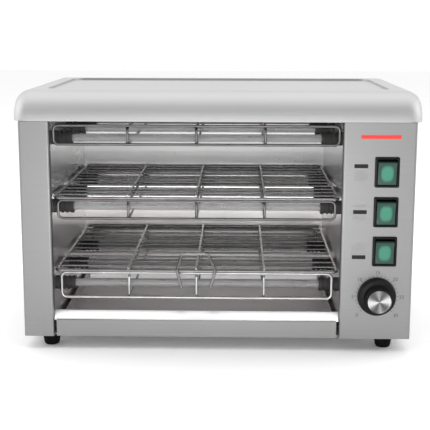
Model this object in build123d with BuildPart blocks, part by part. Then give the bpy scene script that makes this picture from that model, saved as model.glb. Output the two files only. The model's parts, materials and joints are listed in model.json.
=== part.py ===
from build123d import *
import os
from math import cos, radians, sin

# Open-front, two-level quartz bar toaster in folded stainless steel.
# The origin is at the bottom centre of the whole object: +X right, +Y to the rear, +Z up.
# Depths are measured from the front face of the casing and grow towards the rear.
# Each sub-part is written to its own STEP file in parts/.

# ------------------------------------------------------------------ overall sizes
total_height = 276.5  # floor to the crest of the hood
hood_width = 427.0
hood_depth = 276.0
hood_height = 30.8
hood_front_bend = 29.0
hood_rear_bend = 18.0
hood_side_bend = 16.0
recess_inset = 26.0  # shallow pressing in the hood's top
recess_depth = 2.5
side_overhang = 6.5  # hood beyond the body at each side
rear_overhang = 4.0
foot_height = 14.0
sheet = 1.0  # casing steel
liner = 0.8  # cavity and tray steel
casing_bend = 2.5
flange = 12.0  # folded edges that the screws hold
seam = 0.3  # gap between sheets that meet edge to edge
lay_gap = 0.1  # gap between sheets that lie on each other
slide_gap = 0.3  # gap under and beside what slides

# ------------------------------------------------------------------ front
stile_width = 32.3
control_width = 76.1
lip_fold = 8.0  # how far the casing turns in beside the opening
rise_setback = 12.0  # where the casing starts to rise inside the hood
casing_drop = 14.0  # top of the casing below the crest of the hood

# ------------------------------------------------------------------ cavity
wall_offset = 1.5  # cavity wall outside the opening's edge
cavity_space = 20.0  # behind the cavity
ceiling_gap = 1.3  # ceiling above the opening's top edge

# ------------------------------------------------------------------ quartz tubes
tube_front = 28.0
tube_margin = 34.0  # last tube in front of the cavity's back
tube_heights = {"upper": 226.0, "middle": 152.0, "lower": 67.0}
tube_radius = 4.5
tube_bore = 3.5
holder_radius = 7.5
holder_reach = 22.0  # ceramic inside the cavity
holder_tail = 6.0  # ceramic outside the cavity wall
holder_seat = 12.0  # tube held inside the ceramic
holder_collar = 10.0
holder_collar_length = 3.0
holder_fit = 0.1
coil_radius = 2.3
pin_radius = 1.3
pin_reach = 5.0  # pin beyond the ceramic
link_thickness = 1.2
link_height = 7.0
link_margin = 6.0

# ------------------------------------------------------------------ wire guards and racks
guard_low = {"upper": 220.8, "middle": 141.7, "lower": 55.5}
guard_high = {"upper": 240.5, "middle": 161.2, "lower": 82.7}
guard_inset = {"upper": 3.0, "middle": 6.0, "lower": 8.0}  # ring inside the opening's edge
guard_front = 10.0
guard_margin = 7.0  # guard in front of the cavity's back
guard_corner = 5.0
guard_wire = 1.5
column_wire = 1.4
column_corner = 3.5
column_pitch = 72.5
weld = 0.6  # how far wires of one sub-part sink into each other
weld_gap = 0.2  # between wires of two sub-parts
rack_front = 5.0
rack_margin = 5.0  # rack in front of the cavity's back
rack_pitch = 22.0  # between bars, spread to fill the rack evenly
rack_edge_gap = 1.5
rack_frame_wire = 1.5
rack_bar_wire = 1.2
rack_corner = 6.0
handle_wire = 1.6
handle_spread = 41.0  # between the legs where they cross the rack
handle_grip = 27.0
handle_tail_spread = 31.0
handle_reach = 21.0  # grip in front of the casing
handle_rise = 25.0  # grip above the rack
handle_drop = 18.0  # tails below the rack
handle_corner = 6.0

# ------------------------------------------------------------------ crumb tray
tray_end_gap = 2.7  # beside the tray's front panel
tray_lip_gap = 0.6  # beside its sloping lip
tray_panel_height = 19.2
tray_lip_rise = 8.0
tray_lip_hem = 3.0
tray_wall = 12.0
tray_margin = 6.0  # tray in front of the cavity's back
tray_foot_gap = 0.4

# ------------------------------------------------------------------ rocker switches
switch_inset = 30.2  # switch centres from the body's right side
switch_top = 194.2
switch_pitch = 42.1
switch_count = 3
bezel_width = 25.6
bezel_height = 32.0
bezel_proud = 1.6
housing_width = 22.4
housing_height = 29.4
housing_length = 24.0
window_width = 20.0
window_height = 26.8
window_length = 13.6
cutout_gap = 0.2
rocker_width = 19.2
rocker_height = 23.4
rocker_pivot = 6.0  # pivot behind the front face
rocker_rise = 10.2  # ends in front of the pivot
rocker_hollow = 1.5
rocker_skirt = 4.0
rocker_hub = 4.6
rocker_tilt = 8.0  # degrees either side of the middle
trunnion_radius = 1.5
trunnion_length = 0.9
running_gap = 0.05

# ------------------------------------------------------------------ timer
knob_inset = 37.0
knob_z = 61.3
knob_reach = 25.0
knob_gap = 0.8  # between the knob and the fascia
skirt_radius = 20.5
skirt_front_radius = 19.3
skirt_length = 7.2
grip_radius = 14.0
grip_front_radius = 13.2
cap_radius = 12.3
cap_depth = 1.2
cap_dish = 0.5
shaft_radius = 3.0
shaft_flat = 1.2
shaft_tip = 15.0  # shaft in front of the casing
shaft_length = 30.0
timer_size = 48.0
timer_depth = 34.0
bush_radius = 5.0
bush_reach = 0.6  # bush in front of the casing

# ------------------------------------------------------------------ supply side
gland_inset = 37.0
gland_z = 48.0
gland_reach = 14.0
gland_thread = 7.5
gland_flange = 11.0
gland_flange_length = 4.0
gland_nose = 8.0
gland_bore = 4.2
gland_tail = 12.0
block_width = 34.0
block_depth = 18.0
block_height = 22.0
block_ways = 3
block_hole = 2.2
block_setback = 70.0  # block in front of the rear panel
lead_radius = 1.1
lead_corner = 5.0
lead_pitch = 6.0  # between the switch feeds
lead_offset = 9.0  # heater lead beside and below each switch's middle
lead_turn = 75.0  # depth at which heater leads turn to the links
return_z = 55.0
return_setback = 11.0  # return lead in front of the body's rear

# ------------------------------------------------------------------ feet, louvres and screws
foot_inset = 26.0
foot_front = 20.0
foot_rear = 22.0  # rear feet in front of the body's rear
foot_top_radius = 9.3
foot_low_radius = 7.2
foot_bore = 4.6
foot_bore_length = 6.0
foot_screw_radius = 2.0
foot_screw_length = 14.0
louvre_length = 64.0
louvre_height = 4.0
louvre_pitch = 11.0
louvre_rows = 6
louvre_column = 95.0  # louvre centre from the middle
screw_radius = 1.7
screw_head = 3.6
screw_head_height = 2.0
screw_length = 8.0
screw_gap = 0.15
rear_screw_heights = (35.0, 130.0, 225.0)
rear_screw_inset = 7.0
hood_screw_x = (-150.0, 0.0, 150.0)
hood_screw_rise = 12.0

# ------------------------------------------------------------------ places worked out from them
body_width = hood_width - 2 * side_overhang
body_depth = hood_depth - rear_overhang
half_body = body_width / 2
front_y = (knob_reach - body_depth - gland_reach) / 2
hood_bottom = total_height - hood_height
base_bottom = foot_height
opening_left = -half_body + stile_width
opening_right = half_body - control_width
opening_middle = (opening_left + opening_right) / 2
wall_left = opening_left - wall_offset
wall_right = opening_right + wall_offset
casing_rise = total_height - casing_drop
ceiling_z = hood_bottom + ceiling_gap
floor_top = base_bottom + sheet
wall_low = floor_top + lay_gap
cavity_depth = body_depth - cavity_space
tube_rear = cavity_depth - tube_margin
tube_depths = (tube_front, (tube_front + tube_rear) / 2, tube_rear)
guard_rear = cavity_depth - guard_margin
tray_depth = cavity_depth - tray_margin
rack_rear = cavity_depth - rack_margin
rack_gaps = round((rack_rear - rack_front) / rack_pitch)
rack_step = (rack_rear - rack_front) / rack_gaps
switch_x = half_body - switch_inset
knob_x = half_body - knob_inset
gland_x = half_body - gland_inset
return_depth = body_depth - return_setback
foot_x = half_body - foot_inset
foot_depths = (foot_front, body_depth - foot_rear)
rear_screw_x = half_body - rear_screw_inset
columns = [opening_middle + n * column_pitch for n in (-1, 0, 1)]


def back(depth):
    """Y of a point that lies this far behind the casing's front face."""
    return front_y + depth


def save(piece, name):
    """Label a finished piece and write it to its own STEP file."""
    piece.part.label = name
    export_step(piece.part, f"parts/{name}.step")


def turned_along_x(points, y, z):
    """Turn a profile of (x, radius) points about an axis that runs left to right."""
    with BuildPart() as piece:
        with BuildSketch(Plane(origin=(0, y, z))):
            with BuildLine():
                Polyline(*points, close=True)
            make_face()
        revolve(axis=Axis((0, y, z), (1, 0, 0)))
    return piece.part


def turned_along_y(points, x, z):
    """Turn a profile of (radius, depth) points about an axis that runs front to back."""
    with BuildPart() as piece:
        with BuildSketch(Plane(origin=(x, front_y, z))):
            with BuildLine():
                Polyline(*points, close=True)
            make_face()
        revolve(axis=Axis((x, front_y, z), (0, 1, 0)))
    return piece.part


def bent_wire(points, corner, radius, closed=False):
    """A round wire that is bent through these points."""
    with BuildPart() as wire:
        with BuildLine() as path:
            FilletPolyline(*points, radius=corner, close=closed)
        with BuildSketch(Plane(origin=path.line @ 0, z_dir=path.line % 0)):
            Circle(radius)
        sweep()
    return wire.part


def straight_wire(start, end, radius):
    """A straight round wire between two points."""
    run = Vector(*end) - Vector(*start)
    with BuildPart() as wire:
        with BuildSketch(Plane(origin=start, z_dir=run)):
            Circle(radius)
        extrude(amount=run.length)
    return wire.part


os.makedirs("parts", exist_ok=True)


# ------------------------------------------------------------------ hood
def rolled_block(inset, low):
    """The hood's rounded form, inset by a sheet's thickness for its inner face."""
    with BuildPart() as block:
        with BuildSketch(Plane.XY.offset(low)):
            with Locations((0, back(hood_depth / 2))):
                Rectangle(hood_width - 2 * inset, hood_depth - 2 * inset)
        extrude(amount=total_height - inset - low)
        crest = block.edges().filter_by(Axis.X).group_by(Axis.Z)[-1].sort_by(Axis.Y)
        fillet(crest[0], hood_front_bend - inset)
        fillet(crest[-1], hood_rear_bend - inset)
        fillet(block.edges().filter_by(Axis.Y).group_by(Axis.Z)[-1], hood_side_bend - inset)
    return block.part


recess_width = hood_width - 2 * hood_side_bend - recess_inset
recess_length = hood_depth - hood_front_bend - hood_rear_bend - recess_inset
recess_middle = (hood_front_bend + hood_depth - hood_rear_bend) / 2
hood_screw_z = hood_bottom + hood_screw_rise

with BuildPart() as hood:
    add(rolled_block(0, hood_bottom))
    add(rolled_block(sheet, hood_bottom + sheet), mode=Mode.SUBTRACT)
    with BuildSketch(Plane.XY.offset(hood_bottom)):
        with Locations((0, back((rise_setback + body_depth) / 2))):
            Rectangle(body_width + 2 * seam, body_depth + 2 * seam - rise_setback)
    extrude(amount=sheet, mode=Mode.SUBTRACT)
    with BuildSketch(Plane.XY.offset(total_height - recess_depth - sheet)):
        with Locations((0, back(recess_middle))):
            RectangleRounded(recess_width + 2 * sheet, recess_length + 2 * sheet, hood_side_bend + sheet)
    extrude(amount=recess_depth + sheet / 2)
    with BuildSketch(Plane.XY.offset(total_height - recess_depth)):
        with Locations((0, back(recess_middle))):
            RectangleRounded(recess_width, recess_length, hood_side_bend)
    extrude(amount=recess_depth + sheet, mode=Mode.SUBTRACT)
    with BuildSketch(Plane.XZ.offset(-back(hood_depth))):
        with Locations(*[(x, hood_screw_z) for x in hood_screw_x]):
            Circle(screw_radius + screw_gap)
    extrude(amount=2 * sheet, mode=Mode.SUBTRACT)
save(hood, "hood")


# ------------------------------------------------------------------ casings
def folded_side(points, low, high):
    """A folded sheet whose outline, seen from above, follows these (x, depth) points."""
    with BuildPart() as side:
        with BuildSketch(Plane.XY.offset(low)):
            with BuildLine():
                FilletPolyline(*[(x, back(depth)) for x, depth in points], radius=casing_bend)
                offset(amount=sheet, side=Side.LEFT)
            make_face()
        extrude(amount=high - low)
    return side.part


def side_flanges(edge, inward):
    """The folds at the foot of a side and at its top, inside the hood."""
    with BuildPart() as folds:
        for z, start in ((wall_low, casing_bend + sheet), (casing_rise - sheet, rise_setback + seam)):
            length = body_depth - 2 * sheet - seam - start
            with BuildSketch(Plane.XY.offset(z)):
                with Locations((edge + inward * (flange / 2 + sheet / 2), back(start + length / 2))):
                    Rectangle(flange, length)
            extrude(amount=sheet)
    return folds.part


rear_fold = body_depth - sheet - lay_gap
side_front = hood_bottom - seam

with BuildPart() as left_casing:
    add(
        folded_side(
            [
                (-half_body + flange, rear_fold),
                (-half_body, rear_fold),
                (-half_body, 0),
                (opening_left, 0),
                (opening_left, lip_fold),
            ],
            base_bottom,
            side_front,
        )
    )
    add(
        folded_side(
            [(-half_body + flange, rear_fold), (-half_body, rear_fold), (-half_body, rise_setback + seam)],
            side_front,
            casing_rise,
        )
    )
    add(side_flanges(-half_body, 1))
    with BuildSketch(Plane.XZ.offset(-back(body_depth))):
        with Locations(*[(-rear_screw_x, z) for z in rear_screw_heights]):
            Circle(screw_radius + screw_gap)
    extrude(amount=flange, mode=Mode.SUBTRACT)
save(left_casing, "left_casing")

switch_heights = [switch_top - n * switch_pitch for n in range(switch_count)]

with BuildPart() as right_casing:
    add(
        folded_side(
            [
                (opening_right, lip_fold),
                (opening_right, 0),
                (half_body, 0),
                (half_body, rear_fold),
                (half_body - flange, rear_fold),
            ],
            base_bottom,
            side_front,
        )
    )
    add(
        folded_side(
            [(half_body, rise_setback + seam), (half_body, rear_fold), (half_body - flange, rear_fold)],
            side_front,
            casing_rise,
        )
    )
    add(side_flanges(half_body, -1))
    with BuildSketch(Plane.XZ.offset(-back(0))):
        with Locations(*[(switch_x, z) for z in switch_heights]):
            Rectangle(housing_width + 2 * cutout_gap, housing_height + 2 * cutout_gap)
        with Locations((knob_x, knob_z)):
            Circle(bush_radius + cutout_gap)
    extrude(amount=-2 * sheet, mode=Mode.SUBTRACT)
    with BuildSketch(Plane.XZ.offset(-back(body_depth))):
        with Locations(*[(rear_screw_x, z) for z in rear_screw_heights]):
            Circle(screw_radius + screw_gap)
    extrude(amount=flange, mode=Mode.SUBTRACT)
save(right_casing, "right_casing")

pan_width = body_width - 2 * sheet - 2 * seam
pan_front = lip_fold + seam
pan_length = body_depth - sheet - casing_bend - pan_front

with BuildPart() as base_pan:
    with BuildSketch(Plane.XY.offset(base_bottom)):
        with Locations((0, back(pan_front + pan_length / 2))):
            Rectangle(pan_width, pan_length)
    extrude(amount=sheet)
    with BuildSketch(Plane.XY.offset(base_bottom)):
        with Locations(*[(x, back(depth)) for x in (-foot_x, foot_x) for depth in foot_depths]):
            Circle(foot_screw_radius + screw_gap)
    extrude(amount=sheet, mode=Mode.SUBTRACT)
save(base_pan, "base_pan")

panel_width = body_width - 2 * casing_bend
panel_bottom = base_bottom + seam

with BuildPart() as rear_panel:
    with BuildSketch(Plane.XZ.offset(-back(body_depth))):
        with Locations((0, (panel_bottom + casing_rise) / 2)):
            Rectangle(panel_width, casing_rise - panel_bottom)
        with Locations((gland_x, gland_z)):
            Circle(gland_thread + cutout_gap, mode=Mode.SUBTRACT)
        with Locations(*[(x, z) for x in (-rear_screw_x, rear_screw_x) for z in rear_screw_heights]):
            Circle(screw_radius + screw_gap, mode=Mode.SUBTRACT)
        with Locations(*[(x, hood_screw_z) for x in hood_screw_x]):
            Circle(screw_radius + screw_gap, mode=Mode.SUBTRACT)
        for x in (-louvre_column, louvre_column):
            with Locations((x, total_height / 2)):
                with GridLocations(1, louvre_pitch, 1, louvre_rows):
                    SlotOverall(louvre_length, louvre_height, mode=Mode.SUBTRACT)
    extrude(amount=sheet)
save(rear_panel, "rear_panel")

# ------------------------------------------------------------------ cavity
wall_front = lip_fold + wall_offset
wall_high = hood_bottom - seam


def cavity_wall(inner_x, outward):
    """A side of the cavity, pierced for the nine ceramic tube holders."""
    with BuildPart() as wall:
        with BuildSketch(Plane.YZ.offset(inner_x)):
            with Locations((back((wall_front + cavity_depth - seam) / 2), (wall_low + wall_high) / 2)):
                Rectangle(cavity_depth - seam - wall_front, wall_high - wall_low)
            with Locations(*[(back(depth), z) for depth in tube_depths for z in tube_heights.values()]):
                Circle(holder_radius + holder_fit, mode=Mode.SUBTRACT)
        extrude(amount=outward * liner)
    return wall


cavity_left_wall = cavity_wall(wall_left, -1)
save(cavity_left_wall, "cavity_left_wall")

cavity_right_wall = cavity_wall(wall_right, 1)
save(cavity_right_wall, "cavity_right_wall")

cavity_middle = (wall_left + wall_right) / 2
cavity_width = wall_right - wall_left + 2 * liner

with BuildPart() as cavity_back:
    with BuildSketch(Plane.XZ.offset(-back(cavity_depth))):
        with Locations((cavity_middle, (wall_low + ceiling_z) / 2)):
            Rectangle(cavity_width, ceiling_z - wall_low)
    extrude(amount=-liner)
save(cavity_back, "cavity_back")

with BuildPart() as cavity_ceiling:
    with BuildSketch(Plane.XY.offset(ceiling_z)):
        with Locations((cavity_middle, back((rise_setback + seam + cavity_depth) / 2))):
            Rectangle(cavity_width, cavity_depth - rise_setback - seam)
    extrude(amount=liner)
save(cavity_ceiling, "cavity_ceiling")

# ------------------------------------------------------------------ quartz tubes and their holders
tube_left = wall_left + holder_seat
tube_right = wall_right - holder_seat
tail_left = wall_left - liner - holder_tail
tail_right = wall_right + liner + holder_tail

for level, height in tube_heights.items():
    for number, depth in enumerate(tube_depths, start=1):
        with BuildPart() as tube:
            add(
                turned_along_x(
                    [
                        (tube_left, tube_bore),
                        (tube_right, tube_bore),
                        (tube_right, tube_radius),
                        (tube_left, tube_radius),
                    ],
                    back(depth),
                    height,
                )
            )
        save(tube, f"{level}_tube_{number}")

    for side, wall_x, inward in (("left", wall_left, 1), ("right", wall_right, -1)):
        with BuildPart() as holders:
            for depth in tube_depths:
                nose = wall_x + inward * holder_reach
                seat = wall_x + inward * (holder_seat - holder_fit)
                face = wall_x - inward * (liner + holder_fit)
                collar = face - inward * holder_collar_length
                tail = wall_x - inward * (liner + holder_tail)
                add(
                    turned_along_x(
                        [
                            (nose, tube_radius + holder_fit),
                            (seat, tube_radius + holder_fit),
                            (seat, pin_radius + holder_fit),
                            (tail, pin_radius + holder_fit),
                            (tail, holder_radius),
                            (collar, holder_radius),
                            (collar, holder_collar),
                            (face, holder_collar),
                            (face, holder_radius),
                            (nose, holder_radius),
                        ],
                        back(depth),
                        height,
                    )
                )
        save(holders, f"{level}_{side}_holders")

    with BuildPart() as coils:
        for depth in tube_depths:
            add(
                turned_along_x(
                    [
                        (tail_left - pin_reach, 0),
                        (tail_left - pin_reach, pin_radius),
                        (tube_left + holder_seat, pin_radius),
                        (tube_left + holder_seat, coil_radius),
                        (tube_right - holder_seat, coil_radius),
                        (tube_right - holder_seat, pin_radius),
                        (tail_right + pin_reach, pin_radius),
                        (tail_right + pin_reach, 0),
                    ],
                    back(depth),
                    height,
                )
            )
    save(coils, f"{level}_coils")

link_length = tube_depths[-1] - tube_depths[0] + 2 * link_margin

with BuildPart() as element_links:
    for x in (tail_left - pin_reach / 2, tail_right + pin_reach / 2):
        for height in tube_heights.values():
            with BuildSketch(Plane.YZ.offset(x - link_thickness / 2)):
                with Locations((back((tube_depths[0] + tube_depths[-1]) / 2), height)):
                    Rectangle(link_length, link_height)
                with Locations(*[(back(depth), height) for depth in tube_depths]):
                    Circle(pin_radius + holder_fit, mode=Mode.SUBTRACT)
            extrude(amount=link_thickness)
save(element_links, "element_links")

# ------------------------------------------------------------------ wire guards round the tubes
# Each ring is two bent halves that meet at the middle loop, which holds them.
column_set = guard_wire + column_wire + weld_gap
column_inset = column_set - weld

for level in tube_heights:
    low = guard_low[level]
    high = guard_high[level]
    left = opening_left + guard_inset[level]
    right = opening_right - guard_inset[level]
    with BuildPart() as guard_rings:
        for depth in (guard_front, guard_rear):
            for end, side in ((left, -1), (right, 1)):
                seam_x = opening_middle + side * weld_gap / 2
                half_ring = [(seam_x, low), (end, low), (end, high), (seam_x, high)]
                add(bent_wire([(x, back(depth), z) for x, z in half_ring], guard_corner, guard_wire))
    save(guard_rings, f"{level}_guard_rings")

    near = back(guard_front + column_set)
    far = back(guard_rear - column_set)
    under = low - column_inset / 2
    over = high - column_inset
    with BuildPart() as guard_loops:
        for x in columns:
            loop = [(x, near, under), (x, far, under), (x, far, over), (x, near, over)]
            add(bent_wire(loop, column_corner, column_wire, closed=True))
    save(guard_loops, f"{level}_guard_loops")

# ------------------------------------------------------------------ sliding racks
rack_left = opening_left + rack_edge_gap + rack_frame_wire
rack_right = opening_right - rack_edge_gap - rack_frame_wire
rack_height = {
    "upper": guard_high["middle"] + guard_wire + slide_gap + rack_frame_wire,
    "lower": guard_high["lower"] + guard_wire + slide_gap + rack_frame_wire,
}


def wire_rack(height):
    """A flat rack: a bent frame, bars from side to side and three stays over them."""
    with BuildPart() as rack:
        near, far = back(rack_front), back(rack_rear)
        corners = [(rack_left, near), (rack_right, near), (rack_right, far), (rack_left, far)]
        add(bent_wire([(x, y, height) for x, y in corners], rack_corner, rack_frame_wire, closed=True))
        for number in range(1, rack_gaps):
            y = back(rack_front + number * rack_step)
            add(straight_wire((rack_left, y, height), (rack_right, y, height), rack_bar_wire))
        stay = height + rack_bar_wire + rack_frame_wire - weld
        for x in columns:
            add(straight_wire((x, near, stay), (x, far, stay), rack_bar_wire))
    return rack.part


with BuildPart() as upper_rack:
    add(wire_rack(rack_height["upper"]))
save(upper_rack, "upper_rack")

with BuildPart() as lower_rack:
    add(wire_rack(rack_height["lower"]))
save(lower_rack, "lower_rack")

handle_lap = rack_frame_wire + handle_wire + weld_gap
handle_points = []
for side in (-1, 1):
    tail = (opening_middle + side * handle_tail_spread / 2, back(rack_front - handle_lap / 2))
    leg = (opening_middle + side * handle_spread / 2, back(rack_front - handle_lap))
    grip = (opening_middle + side * handle_grip / 2, back(-handle_reach))
    handle_points.append(
        [
            (*tail, rack_height["lower"] - handle_drop),
            (*leg, rack_height["lower"] + handle_wire),
            (*grip, rack_height["lower"] + handle_rise),
        ]
    )

with BuildPart() as rack_handle:
    add(bent_wire(handle_points[0] + handle_points[1][::-1], handle_corner, handle_wire))
save(rack_handle, "rack_handle")

# ------------------------------------------------------------------ crumb tray
tray_low = floor_top + slide_gap
panel_low = base_bottom + tray_foot_gap
panel_high = panel_low + tray_panel_height
tray_left = opening_left + tray_end_gap
tray_right = opening_right - tray_end_gap

with BuildPart() as crumb_tray:
    with BuildSketch(Plane.XY.offset(tray_low)):
        with Locations(((tray_left + tray_right) / 2, back(tray_depth / 2))):
            Rectangle(tray_right - tray_left, tray_depth)
    extrude(amount=tray_wall)
    with BuildSketch(Plane.XY.offset(tray_low + liner)):
        with Locations(((tray_left + tray_right) / 2, back(tray_depth / 2))):
            Rectangle(tray_right - tray_left - 2 * liner, tray_depth - 2 * liner)
    extrude(amount=tray_wall, mode=Mode.SUBTRACT)
    with BuildSketch(Plane.XZ.offset(-back(0))):
        with Locations(((tray_left + tray_right) / 2, (panel_low + panel_high) / 2)):
            Rectangle(tray_right - tray_left, panel_high - panel_low)
    extrude(amount=-sheet)
    lip_end = lip_fold + tray_lip_gap
    with BuildSketch(Plane.YZ.offset(opening_left + tray_lip_gap)):
        with BuildLine():
            Polyline(
                (back(0), panel_high - sheet),
                (back(0), panel_high),
                (back(tray_lip_rise), panel_high + tray_lip_rise),
                (back(tray_lip_rise + liner), panel_high + tray_lip_rise),
                (back(tray_lip_rise + liner), panel_high + tray_lip_rise - tray_lip_hem),
                (back(tray_lip_rise), panel_high + tray_lip_rise - tray_lip_hem),
                (back(tray_lip_rise), panel_high + tray_lip_rise - 2 * liner),
                (back(sheet), panel_high - sheet),
                close=True,
            )
        make_face()
    extrude(amount=opening_right - opening_left - 2 * tray_lip_gap)
save(crumb_tray, "crumb_tray")

# ------------------------------------------------------------------ rocker switches
pivot_y = back(rocker_pivot)

for number, height in enumerate(switch_heights, start=1):
    with BuildPart() as switch_housing:
        with BuildSketch(Plane.XZ.offset(-back(-bezel_proud))):
            with Locations((switch_x, height)):
                RectangleRounded(bezel_width, bezel_height, bezel_proud)
        extrude(amount=-bezel_proud)
        with BuildSketch(Plane.XZ.offset(-back(0))):
            with Locations((switch_x, height)):
                Rectangle(housing_width, housing_height)
        extrude(amount=-housing_length)
        with BuildSketch(Plane.XZ.offset(-back(-bezel_proud))):
            with Locations((switch_x, height)):
                Rectangle(window_width, window_height)
        extrude(amount=-window_length - bezel_proud, mode=Mode.SUBTRACT)
        trunnion_reach = window_width / 2 + trunnion_length
        with BuildSketch(Plane.YZ.offset(switch_x - trunnion_reach)):
            with Locations((pivot_y, height)):
                Circle(trunnion_radius + running_gap)
        extrude(amount=2 * trunnion_reach, mode=Mode.SUBTRACT)
    save(switch_housing, f"switch_housing_{number}")

    turn = radians(rocker_tilt)
    tilted = (0, cos(turn), sin(turn))
    with BuildPart() as rocker:
        plane = Plane(origin=(switch_x - rocker_width / 2, pivot_y, height), x_dir=tilted, z_dir=(1, 0, 0))
        with BuildSketch(plane):
            with BuildLine():
                half = rocker_height / 2
                face = ThreePointArc(
                    (-rocker_rise, -half), (-rocker_rise + rocker_hollow, 0), (-rocker_rise, half)
                )
                Polyline(face @ 1, (-rocker_skirt, half), (0, rocker_hub))
                ThreePointArc((0, rocker_hub), (rocker_hub, 0), (0, -rocker_hub))
                Polyline((0, -rocker_hub), (-rocker_skirt, -half), face @ 0)
            make_face()
        extrude(amount=rocker_width)
        stub = window_width / 2 + trunnion_length / 2
        with BuildSketch(Plane.YZ.offset(switch_x - stub)):
            with Locations((pivot_y, height)):
                Circle(trunnion_radius)
        extrude(amount=2 * stub)
    save(rocker, f"rocker_{number}")

# ------------------------------------------------------------------ timer and knob
timer_front = sheet + running_gap
shaft_end = shaft_length - shaft_tip

with BuildPart() as timer_body:
    with BuildSketch(Plane.XZ.offset(-back(timer_front))):
        with Locations((knob_x, knob_z)):
            RectangleRounded(timer_size, timer_size, casing_bend)
    extrude(amount=-timer_depth)
    with BuildSketch(Plane.XZ.offset(-back(-bush_reach))):
        with Locations((knob_x, knob_z)):
            Circle(bush_radius)
    extrude(amount=-timer_front - bush_reach)
    with BuildSketch(Plane.XZ.offset(-back(-bush_reach))):
        with Locations((knob_x, knob_z)):
            Circle(shaft_radius + running_gap)
    extrude(amount=-shaft_end - 2 * bush_reach, mode=Mode.SUBTRACT)
save(timer_body, "timer_body")

with BuildPart() as timer_shaft:
    with BuildSketch(Plane.XZ.offset(-back(-shaft_tip))):
        with Locations((knob_x, knob_z)):
            Circle(shaft_radius)
    extrude(amount=-shaft_length)
    with BuildSketch(Plane.XZ.offset(-back(-shaft_tip))):
        with Locations((knob_x, knob_z + 2 * shaft_radius - shaft_flat)):
            Rectangle(2 * shaft_radius, 2 * shaft_radius)
    extrude(amount=-shaft_tip + 2 * bush_reach, mode=Mode.SUBTRACT)
save(timer_shaft, "timer_shaft")

with BuildPart() as timer_knob:
    add(
        turned_along_y(
            [
                (0, -knob_reach + cap_depth),
                (cap_radius + cutout_gap, -knob_reach + cap_depth),
                (cap_radius + cutout_gap, -knob_reach + cap_dish),
                (grip_front_radius, -knob_reach + cap_dish),
                (grip_radius, -knob_gap - skirt_length),
                (skirt_front_radius, -knob_gap - skirt_length),
                (skirt_radius, -knob_gap - cap_depth),
                (skirt_radius, -knob_gap),
                (0, -knob_gap),
            ],
            knob_x,
            knob_z,
        )
    )
    with BuildSketch(Plane.XZ.offset(-back(-knob_gap))):
        with Locations((knob_x, knob_z)):
            Circle(bush_radius + cutout_gap)
    extrude(amount=cap_depth, mode=Mode.SUBTRACT)
    with BuildSketch(Plane.XZ.offset(-back(-knob_gap))):
        with Locations((knob_x, knob_z)):
            Circle(shaft_radius + running_gap)
        with Locations((knob_x, knob_z + 2 * shaft_radius - shaft_flat + running_gap)):
            Rectangle(2 * skirt_radius, 2 * shaft_radius, mode=Mode.SUBTRACT)
    extrude(amount=shaft_tip - knob_gap + running_gap, mode=Mode.SUBTRACT)
save(timer_knob, "timer_knob")

with BuildPart() as knob_cap:
    add(
        turned_along_y(
            [
                (0, -knob_reach + cap_dish),
                (cap_radius - cap_dish, -knob_reach),
                (cap_radius, -knob_reach + cap_dish),
                (cap_radius, -knob_reach + cap_depth - running_gap),
                (0, -knob_reach + cap_depth - running_gap),
            ],
            knob_x,
            knob_z,
        )
    )
save(knob_cap, "knob_cap")

# ------------------------------------------------------------------ cable gland and terminal block
with BuildPart() as cable_gland:
    add(
        turned_along_y(
            [
                (gland_bore, body_depth - gland_tail),
                (gland_thread, body_depth - gland_tail),
                (gland_thread, body_depth + running_gap),
                (gland_flange, body_depth + running_gap),
                (gland_flange, body_depth + gland_flange_length),
                (gland_nose, body_depth + gland_reach),
                (gland_bore, body_depth + gland_reach),
            ],
            gland_x,
            gland_z,
        )
    )
save(cable_gland, "cable_gland")

with BuildPart() as terminal_block:
    block_y = back(body_depth - block_setback)
    with BuildSketch(Plane.XY.offset(floor_top)):
        with Locations((gland_x, block_y)):
            Rectangle(block_width, block_depth)
    extrude(amount=block_height)
    with BuildSketch(Plane.XZ.offset(-block_y + block_depth)):
        with Locations((gland_x, floor_top + block_height / 2)):
            with GridLocations(block_width / block_ways, 1, block_ways, 1):
                Circle(block_hole)
    extrude(amount=-2 * block_depth, mode=Mode.SUBTRACT)
save(terminal_block, "terminal_block")

# ------------------------------------------------------------------ leads
block_top = floor_top + block_height + lay_gap
link_left = tail_left - pin_reach / 2
link_right = tail_right + pin_reach / 2 + link_thickness / 2 + lay_gap
timer_rear = timer_front + timer_depth + lay_gap
switch_rear = back(housing_length + lay_gap)
link_rear = back(tube_depths[-1] + link_margin + lay_gap)
turn_y = back(lead_turn)

with BuildPart() as leads:
    for number, height in enumerate(switch_heights):
        x = switch_x + (number - 1) * lead_pitch
        feed = [(x, block_y, block_top), (x, block_y, height), (x, switch_rear, height)]
        add(bent_wire(feed, lead_corner, lead_radius))
    for height, link_z in zip(switch_heights, tube_heights.values()):
        x = switch_x - lead_offset
        z = height - lead_offset
        heater = [(x, switch_rear, z), (x, turn_y, z), (x, turn_y, link_z), (link_right, turn_y, link_z)]
        add(bent_wire(heater, min(lead_corner, abs(link_z - z) / 3), lead_radius))
    x = gland_x - lead_pitch
    run = [(x, block_y, block_top), (x, block_y, knob_z), (x, back(timer_rear), knob_z)]
    add(bent_wire(run, lead_corner, lead_radius))
    x -= lead_pitch
    low_link = tube_heights["lower"]
    run = [
        (x, block_y, block_top),
        (x, block_y, return_z),
        (x, back(return_depth), return_z),
        (link_left, back(return_depth), return_z),
        (link_left, back(return_depth), low_link),
        (link_left, link_rear, low_link),
    ]
    add(bent_wire(run, lead_corner, lead_radius))
    for below, above in (("lower", "middle"), ("middle", "upper")):
        start = tube_heights[below] + link_height / 2 + lay_gap
        end = tube_heights[above] - link_height / 2 - lay_gap
        add(straight_wire((link_left, turn_y, start), (link_left, turn_y, end), lead_radius))
save(leads, "leads")

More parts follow.
